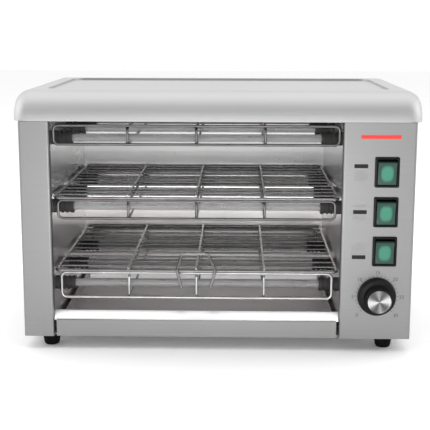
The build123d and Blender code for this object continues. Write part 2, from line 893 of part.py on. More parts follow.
# ------------------------------------------------------------------ feet
foot_places = [("left", -foot_x), ("right", foot_x)]

for side, x in foot_places:
    for end, depth in zip(("front", "rear"), foot_depths):
        with BuildPart() as foot:
            with BuildSketch(Plane(origin=(x, back(depth), 0), x_dir=(1, 0, 0), z_dir=(0, -1, 0))):
                with BuildLine():
                    Polyline(
                        (foot_bore, 0),
                        (foot_low_radius, 0),
                        (foot_top_radius, foot_height),
                        (foot_screw_radius + screw_gap, foot_height),
                        (foot_screw_radius + screw_gap, foot_bore_length),
                        (foot_bore, foot_bore_length),
                        close=True,
                    )
                make_face()
            revolve(axis=Axis((x, back(depth), 0), (0, 0, 1)))
        save(foot, f"{end}_{side}_foot")

with BuildPart() as foot_screws:
    for x in (-foot_x, foot_x):
        for depth in foot_depths:
            with BuildSketch(Plane.XY.offset(foot_bore_length - screw_head_height)):
                with Locations((x, back(depth))):
                    Circle(screw_head)
            extrude(amount=screw_head_height)
            with BuildSketch(Plane.XY.offset(foot_bore_length)):
                with Locations((x, back(depth))):
                    Circle(foot_screw_radius)
            extrude(amount=foot_screw_length)
save(foot_screws, "foot_screws")

# ------------------------------------------------------------------ screws in the rear
with BuildPart() as rear_screws:
    with BuildSketch(Plane.XZ.offset(-back(body_depth))):
        with Locations(*[(x, z) for x in (-rear_screw_x, rear_screw_x) for z in rear_screw_heights]):
            Circle(screw_head)
    extrude(amount=-screw_head_height)
    with BuildSketch(Plane.XZ.offset(-back(body_depth))):
        with Locations(*[(x, z) for x in (-rear_screw_x, rear_screw_x) for z in rear_screw_heights]):
            Circle(screw_radius)
    extrude(amount=screw_length)
save(rear_screws, "rear_screws")

with BuildPart() as hood_screws:
    with BuildSketch(Plane.XZ.offset(-back(hood_depth))):
        with Locations(*[(x, hood_screw_z) for x in hood_screw_x]):
            Circle(screw_head)
    extrude(amount=-screw_head_height)
    with BuildSketch(Plane.XZ.offset(-back(hood_depth))):
        with Locations(*[(x, hood_screw_z) for x in hood_screw_x]):
            Circle(screw_radius)
    extrude(amount=screw_length)
save(hood_screws, "hood_screws")
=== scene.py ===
"""Looks of an open-front stainless bar toaster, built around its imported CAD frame."""

from __future__ import annotations

import json
import logging
import math
from collections.abc import Callable, Iterable, Sequence
from dataclasses import dataclass
from enum import Enum

import bmesh
import bpy
from mathutils import Matrix, Vector

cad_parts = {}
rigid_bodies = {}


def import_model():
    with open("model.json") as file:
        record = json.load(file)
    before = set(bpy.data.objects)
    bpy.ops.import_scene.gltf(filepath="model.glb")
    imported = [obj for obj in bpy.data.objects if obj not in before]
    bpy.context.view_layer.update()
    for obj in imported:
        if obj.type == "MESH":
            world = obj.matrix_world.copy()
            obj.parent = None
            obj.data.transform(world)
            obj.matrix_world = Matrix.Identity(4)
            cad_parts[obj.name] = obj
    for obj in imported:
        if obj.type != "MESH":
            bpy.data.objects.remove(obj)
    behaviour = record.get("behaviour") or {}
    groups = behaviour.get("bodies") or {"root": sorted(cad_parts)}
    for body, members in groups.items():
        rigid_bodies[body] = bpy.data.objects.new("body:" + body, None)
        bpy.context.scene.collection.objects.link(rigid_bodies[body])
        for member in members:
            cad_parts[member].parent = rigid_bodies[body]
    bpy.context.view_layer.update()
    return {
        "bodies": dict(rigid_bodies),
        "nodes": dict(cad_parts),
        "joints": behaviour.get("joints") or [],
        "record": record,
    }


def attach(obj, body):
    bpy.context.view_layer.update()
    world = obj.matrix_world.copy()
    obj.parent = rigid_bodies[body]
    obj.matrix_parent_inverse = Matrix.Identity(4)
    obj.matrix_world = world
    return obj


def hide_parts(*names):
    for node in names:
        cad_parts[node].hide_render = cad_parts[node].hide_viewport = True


log = logging.getLogger("bar_toaster")

MM = 0.001
Colour = tuple[float, float, float]


# ---------------------------------------------------------------------------- shader building
class Signal:
    """A shader value that adds Math nodes when it is calculated with."""

    def __init__(self, sheet: NodeSheet, socket: bpy.types.NodeSocket) -> None:
        """Keep the sheet that the nodes go on.

        Args:
            sheet: The node sheet that the value lives on.
            socket: The output socket that carries the value.
        """
        self.sheet = sheet
        self.socket = socket

    def _math(self, operation: str, *values: Signal | float) -> Signal:
        """Add one Math node.

        Args:
            operation: The Math node's operation.
            values: Its operands in order.

        Returns:
            The node's result.
        """
        made = self.sheet.node("ShaderNodeMath", {"operation": operation}, dict(enumerate(values)))
        return Signal(self.sheet, made.outputs[0])

    def __add__(self, other: Signal | float) -> Signal:
        """Add."""
        return self._math("ADD", self, other)

    def __sub__(self, other: Signal | float) -> Signal:
        """Subtract."""
        return self._math("SUBTRACT", self, other)

    def __mul__(self, other: Signal | float) -> Signal:
        """Multiply."""
        return self._math("MULTIPLY", self, other)

    def __truediv__(self, other: Signal | float) -> Signal:
        """Divide."""
        return self._math("DIVIDE", self, other)

    def power(self, exponent: float) -> Signal:
        """Raise to a power."""
        return self._math("POWER", self, exponent)

    def wave(self) -> Signal:
        """Swing smoothly between zero and one, with this value as the phase in radians."""
        return self._math("SINE", self) * 0.5 + 0.5

    def size(self) -> Signal:
        """Drop the sign."""
        return self._math("ABSOLUTE", self)

    def clamped(self) -> Signal:
        """Keep between zero and one."""
        made = self.sheet.node("ShaderNodeClamp", {}, {0: self})
        return Signal(self.sheet, made.outputs[0])

    def ramp(self, low: float, high: float) -> Signal:
        """Rise smoothly from zero at low to one at high."""
        settings = {"interpolation_type": "SMOOTHSTEP"}
        made = self.sheet.node("ShaderNodeMapRange", settings, {0: self, 1: low, 2: high})
        return Signal(self.sheet, made.outputs[0])


class NodeSheet:
    """A material's node tree with its shader and object coordinates at hand."""

    def __init__(self, name: str) -> None:
        """Start a material that holds one Principled shader.

        Args:
            name: The material's name.
        """
        self.material = bpy.data.materials.new(name)
        self.material.use_nodes = True
        self.tree = self.material.node_tree
        self.shader = next(n for n in self.tree.nodes if n.type == "BSDF_PRINCIPLED")
        self.place = self.node("ShaderNodeTexCoord").outputs["Object"]

    def node(self, kind: str, settings: dict | None = None, inputs: dict | None = None) -> bpy.types.Node:
        """Add any node.

        Args:
            kind: The node's type.
            settings: Its properties, set before its sockets.
            inputs: Values, sockets or signals for its inputs, by name or number.

        Returns:
            The new node.
        """
        made = self.tree.nodes.new(kind)
        for name, value in (settings or {}).items():
            setattr(made, name, value)
        for key, value in (inputs or {}).items():
            self.feed(made.inputs[key], value)
        return made

    def feed(self, socket: bpy.types.NodeSocket, value: object) -> None:
        """Link a signal or a socket to an input, or set the input's own value."""
        if isinstance(value, Signal):
            self.tree.links.new(value.socket, socket)
        elif isinstance(value, bpy.types.NodeSocket):
            self.tree.links.new(value, socket)
        else:
            socket.default_value = value

    def shade(self, **inputs: object) -> None:
        """Feed the shader's inputs, with underscores for the spaces in their names."""
        for name, value in inputs.items():
            self.feed(self.shader.inputs[name.replace("_", " ")], value)

    def axes(self) -> tuple[Signal, Signal, Signal]:
        """Split the object coordinates, in metres."""
        split = self.node("ShaderNodeSeparateXYZ", {}, {0: self.place})
        return tuple(Signal(self, out) for out in split.outputs)

    def noise(self, stretch: Sequence[float], detail: float = 2.0, rough: float = 0.5) -> Signal:
        """Read noise whose cells per metre differ along each axis.

        Args:
            stretch: Cells per metre along X, Y and Z.
            detail: Octaves of finer noise.
            rough: Strength of each octave beside the one before it.

        Returns:
            Noise between zero and one.
        """
        mapped = self.node("ShaderNodeMapping", {}, {"Vector": self.place, "Scale": tuple(stretch)})
        made = self.node(
            "ShaderNodeTexNoise",
            {},
            {"Vector": mapped.outputs[0], "Scale": 1.0, "Detail": detail, "Roughness": rough},
        )
        return Signal(self, made.outputs[0])

    def mixed(self, factor: Signal, first: Colour, second: Colour) -> bpy.types.NodeSocket:
        """Mix two colours.

        Args:
            factor: Zero for the first colour and one for the second.
            first: The first colour.
            second: The second colour.

        Returns:
            The mixed colour's socket.
        """
        inputs = {0: factor, 6: (*first, 1.0), 7: (*second, 1.0)}
        return self.node("ShaderNodeMix", {"data_type": "RGBA"}, inputs).outputs[2]

    def bump(self, height: Signal, depth: float, strength: float = 1.0) -> None:
        """Feed the shader's normal from a height.

        Args:
            height: Height between zero and one.
            depth: Metres from the lowest to the highest.
            strength: Share of the bump that shows.
        """
        made = self.node("ShaderNodeBump", {}, {"Height": height, "Distance": depth, "Strength": strength})
        self.shade(Normal=made.outputs[0])


def toned(tone: Colour, share: float, lift: float = 0.0) -> Colour:
    """Make a darker or lighter version of a tone.

    Args:
        tone: The tone to start from.
        share: What each channel is multiplied by.
        lift: What is then added to each channel.

    Returns:
        The new tone, with no channel above one.
    """
    return tuple(min(1.0, share * c + lift) for c in tone)


class Grain(Enum):
    """Direction that a sheet was brushed in, as cells per metre along X, Y and Z."""

    ACROSS = (6.0, 700.0, 1500.0)
    DEEP = (1500.0, 6.0, 1500.0)


@dataclass(frozen=True)
class Finish:
    """A surface finish, which makes its material once."""

    name: str
    slot: str
    tone: Colour = (0.5, 0.5, 0.5)

    def draw(self, sheet: NodeSheet) -> None:
        """Wire the shader."""
        sheet.shade(Base_Color=(*self.tone, 1.0))

    def material(self) -> bpy.types.Material:
        """Give the finish's material, made on first use."""
        made = bpy.data.materials.get(self.name)
        if made is None:
            sheet = NodeSheet(self.name)
            self.draw(sheet)
            made = sheet.material
        return made


@dataclass(frozen=True)
class BrushedSteel(Finish):
    """Stainless sheet with a fine satin grain and faint handling marks."""

    grain: Grain = Grain.ACROSS
    roughness: float = 0.33
    streak_depth: float = 0.000012

    def draw(self, sheet: NodeSheet) -> None:
        """Wire long fine streaks into colour, roughness and bump."""
        streak = sheet.noise(self.grain.value, detail=3.0, rough=0.6)
        cloud = sheet.noise((9.0, 9.0, 9.0), detail=2.0)
        dark = toned(self.tone, 0.92)
        level = (streak * 0.7 + cloud * 0.3).ramp(0.25, 0.75)
        sheet.shade(
            Base_Color=sheet.mixed(level, dark, self.tone),
            Metallic=1.0,
            Roughness=streak * 0.10 + cloud * 0.05 + (self.roughness - 0.075),
        )
        sheet.bump(streak, self.streak_depth, 0.6)


@dataclass(frozen=True)
class LinerSteel(Finish):
    """Bright thin sheet, slightly wavy, blended into a second colour towards the floor: on the walls and
    ceiling a faint warm discolouration, on the back a much lighter lower part under a darker top, as painted
    light and painted shade.
    """

    roughness: float = 0.16
    warm_tint_and_painted_light: Colour = (0.96, 0.925, 0.925)
    tint_and_painted_light_low: float = 0.20
    tint_and_painted_light_high: float = 0.06

    def draw(self, sheet: NodeSheet) -> None:
        """Wire waves, fine rolling marks and the blend towards the floor: a faint straw discolouration on the
        walls, painted light and painted shade on the back.
        """
        wave = sheet.noise((14.0, 10.0, 16.0), detail=1.0)
        rolling = sheet.noise((900.0, 12.0, 900.0), detail=2.0)
        height = sheet.axes()[2]
        tint_and_painted_light = height.ramp(self.tint_and_painted_light_low, self.tint_and_painted_light_high) * 0.85 + wave * 0.15
        sheet.shade(
            Base_Color=sheet.mixed(tint_and_painted_light.clamped(), self.tone, self.warm_tint_and_painted_light),
            Metallic=1.0,
            Roughness=rolling * 0.10 + wave * 0.06 + (self.roughness - 0.08),
        )
        sheet.bump(wave * 0.985 + rolling * 0.015, 0.0009, 0.45)


@dataclass(frozen=True)
class ChromedWire(Finish):
    """Bright drawn wire with faint draw lines."""

    roughness: float = 0.14

    def draw(self, sheet: NodeSheet) -> None:
        """Wire slight dullness in patches."""
        patch = sheet.noise((60.0, 60.0, 60.0), detail=3.0)
        dull = toned(self.tone, 0.8)
        sheet.shade(
            Base_Color=sheet.mixed(patch.ramp(0.35, 0.7), dull, self.tone),
            Metallic=1.0,
            Roughness=patch * 0.14 + (self.roughness - 0.07),
        )
        sheet.bump(sheet.noise((900.0, 900.0, 900.0)), 0.00002, 0.3)


@dataclass(frozen=True)
class FrostedQuartz(Finish):
    """Milky quartz that lets the coil show through."""

    alpha: float = 0.62

    def draw(self, sheet: NodeSheet) -> None:
        """Wire a milky body with cloudy transparency and a glossy skin."""
        cloud = sheet.noise((40.0, 220.0, 220.0), detail=2.0)
        dim = toned(self.tone, 0.85)
        sheet.shade(
            Base_Color=sheet.mixed(cloud, dim, self.tone),
            Roughness=cloud * 0.12 + 0.10,
            Alpha=cloud * 0.2 + (self.alpha - 0.1),
            Coat_Weight=0.6,
            IOR=1.46,
        )
        sheet.bump(cloud, 0.00004, 0.3)


@dataclass(frozen=True)
class FiredCeramic(Finish):
    """Dark fired ceramic with a dry, speckled surface."""

    def draw(self, sheet: NodeSheet) -> None:
        """Wire fine specks and pits."""
        speck = sheet.noise((1800.0, 1800.0, 1800.0), detail=2.0)
        light = toned(self.tone, 2.2)
        sheet.shade(
            Base_Color=sheet.mixed(speck.ramp(0.55, 0.75), self.tone, light),
            Roughness=speck * 0.2 + 0.55,
        )
        sheet.bump(speck, 0.00008, 0.5)


@dataclass(frozen=True)
class Moulded(Finish):
    """Moulded plastic or rubber with a fine spark-eroded texture."""

    roughness: float = 0.42
    texture: float = 0.00003
    cells: float = 2600.0
    sheen: float = 0.22

    def draw(self, sheet: NodeSheet) -> None:
        """Wire the eroded texture and slight unevenness of tone."""
        erosion = sheet.noise((self.cells,) * 3, detail=2.0)
        drift = sheet.noise((70.0, 70.0, 70.0), detail=1.0)
        light = toned(self.tone, 1.35, 0.004)
        sheet.shade(
            Base_Color=sheet.mixed(drift.ramp(0.3, 0.8), self.tone, light),
            Roughness=erosion * 0.14 + drift * 0.08 + (self.roughness - 0.11),
            Specular_IOR_Level=self.sheen,
        )
        sheet.bump(erosion, self.texture, 0.5)


@dataclass(frozen=True)
class GreenLens(Finish):
    """Translucent green rocker with a painted glow: the middle is painted lighter in its colour as a painted
    highlight, and a faint emission makes it glow though no lamp is modelled.
    """

    edge: Colour = (0.022, 0.060, 0.048)
    drop: float = 0.0012
    centres: tuple[tuple[float, float], ...] = ()
    half_width: float = 0.0074
    half_height: float = 0.0098

    def draw(self, sheet: NodeSheet) -> None:
        """Wire a painted glow about each rocker's centre, into the colour and a faint emission."""
        x, _, z = sheet.axes()
        painted_glow: Signal | None = None
        for centre_x, centre_z in self.centres:
            across = ((x - centre_x) / self.half_width).size()
            up = (z - centre_z + self.drop) / self.half_height
            off = across.power(3.0) + up.size().power(2.5)
            painted_spot = off.ramp(1.0, 0.15)
            painted_glow = painted_spot if painted_glow is None else painted_glow + painted_spot
        cloud = sheet.noise((300.0, 300.0, 300.0), detail=1.0)
        colour = sheet.mixed((painted_glow * (cloud * 0.2 + 0.9)).clamped(), self.edge, self.tone)
        # Painted light: the lighter middle stands in for a highlight, and the emission is a painted glow.
        sheet.shade(
            Base_Color=colour,
            Roughness=cloud * 0.06 + 0.20,
            Specular_IOR_Level=0.35,
            Emission_Color=colour,
            Emission_Strength=0.2,
        )
        sheet.bump(cloud, 0.00005, 0.3)


@dataclass(frozen=True)
class PlainMetal(Finish):
    """Bare or plated metal on small parts."""

    roughness: float = 0.25
    cells: float = 800.0

    def draw(self, sheet: NodeSheet) -> None:
        """Wire fine wear into colour and roughness."""
        wear = sheet.noise((self.cells,) * 3, detail=3.0)
        dark = toned(self.tone, 0.75)
        sheet.shade(
            Base_Color=sheet.mixed(wear.ramp(0.3, 0.7), dark, self.tone),
            Metallic=1.0,
            Roughness=wear * 0.15 + (self.roughness - 0.07),
        )
        sheet.bump(wear, 0.00001, 0.4)


@dataclass(frozen=True)
class SpunMetal(Finish):
    """Disc spun about a front-to-back axis, with a conic painted highlight in its colour: bright lobes to the
    sides and painted shade above and below; the fine rings are real.
    """

    # Colour between the highlight lobes: painted shade.
    dark: Colour = (0.05, 0.05, 0.05)
    centre: tuple[float, float] = (0.170, 0.0613)
    rings: float = 4200.0
    highlight_slant: tuple[float, float] = (0.18, -0.12)
    highlight_sharpness: tuple[float, float] = (5.0, 12.0)
    strength: tuple[float, float] = (0.95, 0.30)

    def draw(self, sheet: NodeSheet) -> None:
        """Wire the painted highlight by angle into the colour, and the rings by radius."""
        x, _, z = sheet.axes()
        right, up = x - self.centre[0], z - self.centre[1]
        radius = (right * right + up * up).power(0.5) + 0.00001
        level = ((right + up * self.highlight_slant[0]) / radius).power(2.0)
        upright = ((up + right * self.highlight_slant[1]) / radius).power(2.0)
        ring = (radius * self.rings).wave()
        painted_highlight_cones = [c.power(p) * k for c, p, k in zip((level, upright), self.highlight_sharpness, self.strength)]
        # Painted highlight: the lobes and the rings are summed into the base colour.
        sheen = painted_highlight_cones[0] + painted_highlight_cones[1] + ring * 0.08 + 0.05
        sheet.shade(
            Base_Color=sheet.mixed(sheen.clamped(), self.dark, self.tone),
            Metallic=1.0,
            Roughness=ring * 0.08 + 0.24,
        )
        sheet.bump(ring, 0.00003, 0.4)


@dataclass(frozen=True)
class PrintedInk(Finish):
    """Screen-printed ink with slightly uneven cover."""

    def draw(self, sheet: NodeSheet) -> None:
        """Wire uneven cover."""
        cover = sheet.noise((2200.0, 2200.0, 2200.0), detail=2.0)
        thin = toned(self.tone, 1.25, 0.01)
        sheet.shade(
            Base_Color=sheet.mixed(cover, self.tone, thin),
            Roughness=cover * 0.1 + 0.45,
            Specular_IOR_Level=0.2,
        )
        sheet.bump(cover, 0.00001, 0.3)


@dataclass(frozen=True)
class PaleFloor(Finish):
    """Seamless pale studio floor, lifted a little so that its far edge meets the white behind it."""

    lift: float = 0.06

    def draw(self, sheet: NodeSheet) -> None:
        """Wire an almost even matt white."""
        drift = sheet.noise((3.0, 3.0, 3.0), detail=1.0)
        dim = toned(self.tone, 0.995)
        sheet.shade(
            Base_Color=sheet.mixed(drift, dim, self.tone),
            Roughness=0.75,
            Emission_Color=(1.0, 1.0, 1.0, 1.0),
            Emission_Strength=self.lift,
        )


CASING = BrushedSteel("casing_brushed", "casing_steel", (0.29, 0.29, 0.29), Grain.ACROSS, 0.40)
BASE_STEEL = BrushedSteel("base_brushed", "casing_steel", (0.50, 0.50, 0.505), Grain.DEEP, 0.36)
HOOD_STEEL = BrushedSteel("hood_brushed", "casing_steel", (0.55, 0.55, 0.55), Grain.ACROSS, 0.58)
LINER = LinerSteel("cavity_bright", "cavity_steel", (0.95, 0.95, 0.95), 0.30)
# The back is darker at the top and much lighter below: painted shade under the ceiling and painted light low
# down.
BACKING = LinerSteel(
    "cavity_backing", "cavity_steel", (0.46, 0.46, 0.46), 0.30, tint_and_painted_light_low=0.19, tint_and_painted_light_high=0.13
)
TRAY = BrushedSteel("tray_brushed", "tray_steel", (0.29, 0.286, 0.286), Grain.ACROSS, 0.36)
# The pan is a much lighter copy of the tray steel: painted light against the shade in the tray.
PAN = BrushedSteel("pan_brushed_painted_light", "tray_steel", (0.88, 0.85, 0.85), Grain.DEEP, 0.42)
# The lip is a much lighter copy of the tray steel: a painted highlight where it faces up towards the lights.
LIP = BrushedSteel("lip_painted_highlight", "tray_steel", (0.93, 0.93, 0.93), Grain.ACROSS, 0.30)
WIRE = ChromedWire("wire_chromed", "wire_chrome", (0.56, 0.56, 0.565), 0.20)
RACK_WIRE = ChromedWire("wire_rack", "wire_chrome", (0.31, 0.305, 0.305), 0.26)
# Darker copy of the chrome wire for the upper and middle guards, as painted shade.
PAINTED_SHADE_WIRE = ChromedWire("wire_painted_shade", "wire_chrome", (0.20, 0.195, 0.19), 0.30)
QUARTZ = FrostedQuartz("quartz_frosted", "quartz", (0.52, 0.52, 0.52), 0.46)
CERAMIC = FiredCeramic("holder_fired", "holder_ceramic", (0.028, 0.027, 0.026))
COIL = PlainMetal("coil_oxidised", "coil_wire", (0.22, 0.21, 0.20), 0.5)
LINK = PlainMetal("link_plain", "link_steel", (0.5, 0.5, 0.5), 0.35)
BEZEL = Moulded("bezel_black", "bezel_plastic", (0.004, 0.004, 0.0043), 0.32, sheen=0.16)
KNOB = Moulded("knob_black", "knob_plastic", (0.005, 0.005, 0.0053), 0.36, sheen=0.16)
CAP = SpunMetal("cap_spun_painted_sheen", "cap_metal", (0.60, 0.60, 0.61))
TIMER = PlainMetal("timer_plated", "timer_metal", (0.55, 0.55, 0.56), 0.35)
GLAND = Moulded("gland_black", "gland_plastic", (0.018, 0.018, 0.019), 0.45)
BLOCK = Moulded("block_natural", "block_plastic", (0.72, 0.70, 0.64), 0.5)
RUBBER = Moulded("foot_black", "foot_rubber", (0.004, 0.004, 0.004), 0.62, 0.00008, 900.0, sheen=0.07)
SCREW = PlainMetal("screw_plated", "screw_steel", (0.62, 0.62, 0.63), 0.28)
INK_DARK = PrintedInk("ink_dark", "casing_steel", (0.012, 0.012, 0.013))
INK_GREY = PrintedInk("ink_grey", "casing_steel", (0.075, 0.075, 0.078))
INK_RED = PrintedInk("ink_red", "casing_steel", (0.80, 0.055, 0.045))
INK_FAINT = PrintedInk("ink_faint", "casing_steel", (0.30, 0.30, 0.305))
LEAD = Moulded("lead_braided", "lead_insulation", (0.62, 0.58, 0.50), 0.6, 0.0001, 700.0)
FLOOR = PaleFloor("floor_pale", "none", (0.995, 0.995, 0.995))


# ---------------------------------------------------------------------------- mesh building
def piece(
    name: str,
    shape: bmesh.types.BMesh,
    finish: Finish,
    body: str,
    replaces: Sequence[str] = (),
    smooth: float | None = 35.0,
) -> bpy.types.Object:
    """Turn a bmesh into a piece of the object that rides on a CAD body.

    Args:
        name: The piece's name.
        shape: Its mesh, in the CAD frame. It is freed.
        finish: Its finish.
        body: The CAD body that it rides on.
        replaces: CAD nodes that it stands for.
        smooth: Edges sharper than this many degrees stay sharp, or None for flat faces.

    Returns:
        The new object.
    """
    mesh = bpy.data.meshes.new(name)
    shape.to_mesh(mesh)
    shape.free()
    made = bpy.data.objects.new(name, mesh)
    bpy.context.scene.collection.objects.link(made)
    mesh.materials.append(finish.material())
    if smooth is not None:
        for face in mesh.polygons:
            face.use_smooth = True
        mesh.set_sharp_from_angle(angle=math.radians(smooth))
    return settled(made, body, replaces)


def settled(
    made: bpy.types.Object, body: str, replaces: Sequence[str] = ()
) -> bpy.types.Object:
    """Tell the frame which body a finished piece rides on and what it stands for."""
    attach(made, body)
    if replaces:
        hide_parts(*replaces)
    log.info("%s: %d faces on %s", made.name, len(made.data.polygons), body)
    return made


def dress(frame: dict, finish: Finish, nodes: Iterable[str]) -> None:
    """Give CAD nodes that stay visible their finish."""
    for name in nodes:
        slots = frame["nodes"][name].data.materials
        slots.clear()
        slots.append(finish.material())
        log.info("%s: dressed in %s", name, finish.name)


def lathe(
    shape: bmesh.types.BMesh,
    profile: Sequence[tuple[float, float]],
    turn: Matrix,
    segments: int = 48,
    ripple: Callable[[float, float], float] | None = None,
) -> None:
    """Turn a profile about the local Z axis and add it to a mesh.

    Args:
        shape: The mesh to add to.
        profile: Radius and height of each ring, from the first pole to the last.
        turn: Places the local axis in the CAD frame.
        segments: Faces round the axis.
        ripple: Share of the radius at a height and an angle, for flutes.
    """
    rings = []
    for radius, height in profile:
        if radius < 1e-7:
            rings.append([shape.verts.new(turn @ Vector((0, 0, height)))])
            continue
        ring = []
        for step in range(segments):
            angle = math.tau * step / segments
            share = ripple(height, angle) if ripple else 1.0
            local = Vector((radius * share * math.cos(angle), radius * share * math.sin(angle), height))
            ring.append(shape.verts.new(turn @ local))
        rings.append(ring)
    closed = len(rings[0]) > 1 and len(rings[-1]) > 1
    pairs = list(zip(rings, rings[1:])) + ([(rings[-1], rings[0])] if closed else [])
    made = []
    for first, second in pairs:
        for step in range(segments):
            after = (step + 1) % segments
            corners = [first[step % len(first)], first[after % len(first)]]
            corners += [second[after % len(second)], second[step % len(second)]]
            corners = list(dict.fromkeys(corners))
            if len(corners) > 2:
                made.append(shape.faces.new(corners))
    bmesh.ops.recalc_face_normals(shape, faces=made)


def along_y(x: float, y: float, z: float) -> Matrix:
    """Place a lathe axis along -Y, so that heights grow towards the front."""
    return Matrix.Translation((x, y, z)) @ Matrix.Rotation(math.radians(90), 4, "X")


def along_x(x: float, y: float, z: float) -> Matrix:
    """Place a lathe axis along +X."""
    return Matrix.Translation((x, y, z)) @ Matrix.Rotation(math.radians(90), 4, "Y")


def rounded_loop(width: float, height: float, radius: float, steps: int = 6) -> list[tuple[float, float]]:
    """Points of a rounded rectangle about the origin, anticlockwise."""
    points = []
    for number, (sx, sy) in enumerate(((1, -1), (1, 1), (-1, 1), (-1, -1))):
        for step in range(steps + 1):
            angle = math.radians(90 * (number - 1) + 90 * step / steps)
            x = sx * (width / 2 - radius) + radius * math.cos(angle)
            points.append((x, sy * (height / 2 - radius) + radius * math.sin(angle)))
    return points


def lofted(
    shape: bmesh.types.BMesh, loops: Sequence[Sequence[Vector]], cap_first: bool = True, cap_last: bool = True
) -> None:
    """Join loops of equal length one after another and close the ends."""
    rings = [[shape.verts.new(point) for point in loop] for loop in loops]
    made = []
    for first, second in zip(rings, rings[1:]):
        for step in range(len(first)):
            after = (step + 1) % len(first)
            made.append(shape.faces.new((first[step], first[after], second[after], second[step])))
    if cap_first:
        made.append(shape.faces.new(rings[0]))
    if cap_last:
        made.append(shape.faces.new(rings[-1]))
    bmesh.ops.recalc_face_normals(shape, faces=made)


# ---------------------------------------------------------------------------- geometry nodes
class GrowthTree:
    """A Geometry Nodes tree that starts with named inputs and ends in one finished mesh."""

    def __init__(self, name: str, inputs: dict[str, tuple[str, object]]) -> None:
        """Make the tree's interface.

        Args:
            name: The tree's name.
            inputs: Socket type and value of each named input.
        """
        self.tree = bpy.data.node_groups.new(name, "GeometryNodeTree")
        face = self.tree.interface
        face.new_socket("Geometry", in_out="INPUT", socket_type="NodeSocketGeometry")
        self.keys = {}
        for label, (kind, value) in inputs.items():
            socket = face.new_socket(label, in_out="INPUT", socket_type=kind)
            if value is not None:
                socket.default_value = value
            self.keys[label] = socket.identifier
        face.new_socket("Geometry", in_out="OUTPUT", socket_type="NodeSocketGeometry")
        self.source = self.tree.nodes.new("NodeGroupInput")
        self.sink = self.tree.nodes.new("NodeGroupOutput")

    def node(self, kind: str, settings: dict | None = None, inputs: dict | None = None) -> bpy.types.Node:
        """Add any node; a text value names one of the tree's own inputs."""
        made = self.tree.nodes.new(kind)
        for name, value in (settings or {}).items():
            setattr(made, name, value)
        for key, value in (inputs or {}).items():
            if isinstance(value, str):
                self.tree.links.new(self.source.outputs[value], made.inputs[key])
            elif isinstance(value, bpy.types.NodeSocket):
                self.tree.links.new(value, made.inputs[key])
            else:
                made.inputs[key].default_value = value
        return made

    def swept(self, curve: bpy.types.NodeSocket, facets: int = 12) -> bpy.types.NodeSocket:
        """Sweep round wire of the input radius along a curve and close its ends.

        Args:
            curve: The curve to sweep along.
            facets: Number of sides of the wire.

        Returns:
            The wire's mesh.
        """
        size = {"Resolution": facets, "Radius": "Wire radius"}
        ring = self.node("GeometryNodeCurvePrimitiveCircle", {}, size)
        sides = {"Curve": curve, "Profile Curve": ring.outputs[0], "Fill Caps": True}
        return self.node("GeometryNodeCurveToMesh", {}, sides).outputs[0]

    def close(self, geometry: bpy.types.NodeSocket) -> None:
        """Realize instances, shade smooth, set the material and end the tree."""
        real = self.node("GeometryNodeRealizeInstances", {}, {0: geometry})
        soft = self.node("GeometryNodeSetShadeSmooth", {}, {0: real.outputs[0]})
        dressed = self.node("GeometryNodeSetMaterial", {}, {0: soft.outputs[0], "Material": "Finish"})
        self.tree.links.new(dressed.outputs[0], self.sink.inputs[0])

    def grow(self, name: str, seed: bpy.types.Mesh, values: dict[str, object]) -> bpy.types.Mesh:
        """Run the tree on a seed mesh.

        Args:
            name: Name of the finished mesh.
            seed: The mesh that the tree starts from.
            values: Values of the tree's named inputs.

        Returns:
            A plain mesh with nothing left to evaluate.
        """
        host = bpy.data.objects.new(name + "_seed", seed)
        bpy.context.scene.collection.objects.link(host)
        modifier = host.modifiers.new("grow", "NODES")
        modifier.node_group = self.tree
        for label, value in values.items():
            modifier[self.keys[label]] = value
        bpy.context.view_layer.update()
        ready = host.evaluated_get(bpy.context.evaluated_depsgraph_get())
        made = bpy.data.meshes.new_from_object(ready)
        made.name = name
        bpy.data.objects.remove(host)
        return made


def seed_mesh(name: str, chains: Sequence[tuple[Sequence[Vector], bool]]) -> bpy.types.Mesh:
    """Make a mesh of loose points and edges from chains of points, each open or closed."""
    mesh = bpy.data.meshes.new(name)
    points: list[Vector] = []
    edges: list[tuple[int, int]] = []
    for chain, closed in chains:
        start = len(points)
        points.extend(chain)
        edges.extend((start + n, start + n + 1) for n in range(len(chain) - 1))
        if closed:
            edges.append((len(points) - 1, start))
    mesh.from_pydata(points, edges, [])
    return mesh


def wire_tree() -> GrowthTree:
    """Build the tree that bends round wire along chains of straight runs."""
    grown = GrowthTree(
        "bent_wire",
        {
            "Bend radius": ("NodeSocketFloat", 0.005),
            "Wire radius": ("NodeSocketFloat", 0.0015),
            "Finish": ("NodeSocketMaterial", None),
        },
    )
    path = grown.node("GeometryNodeMeshToCurve", {}, {0: "Geometry"})
    bent = grown.node(
        "GeometryNodeFilletCurve",
        {"mode": "POLY"},
        {"Curve": path.outputs[0], "Radius": "Bend radius", "Limit Radius": True, "Count": 6},
    )
    grown.close(grown.swept(bent.outputs[0]))
    return grown


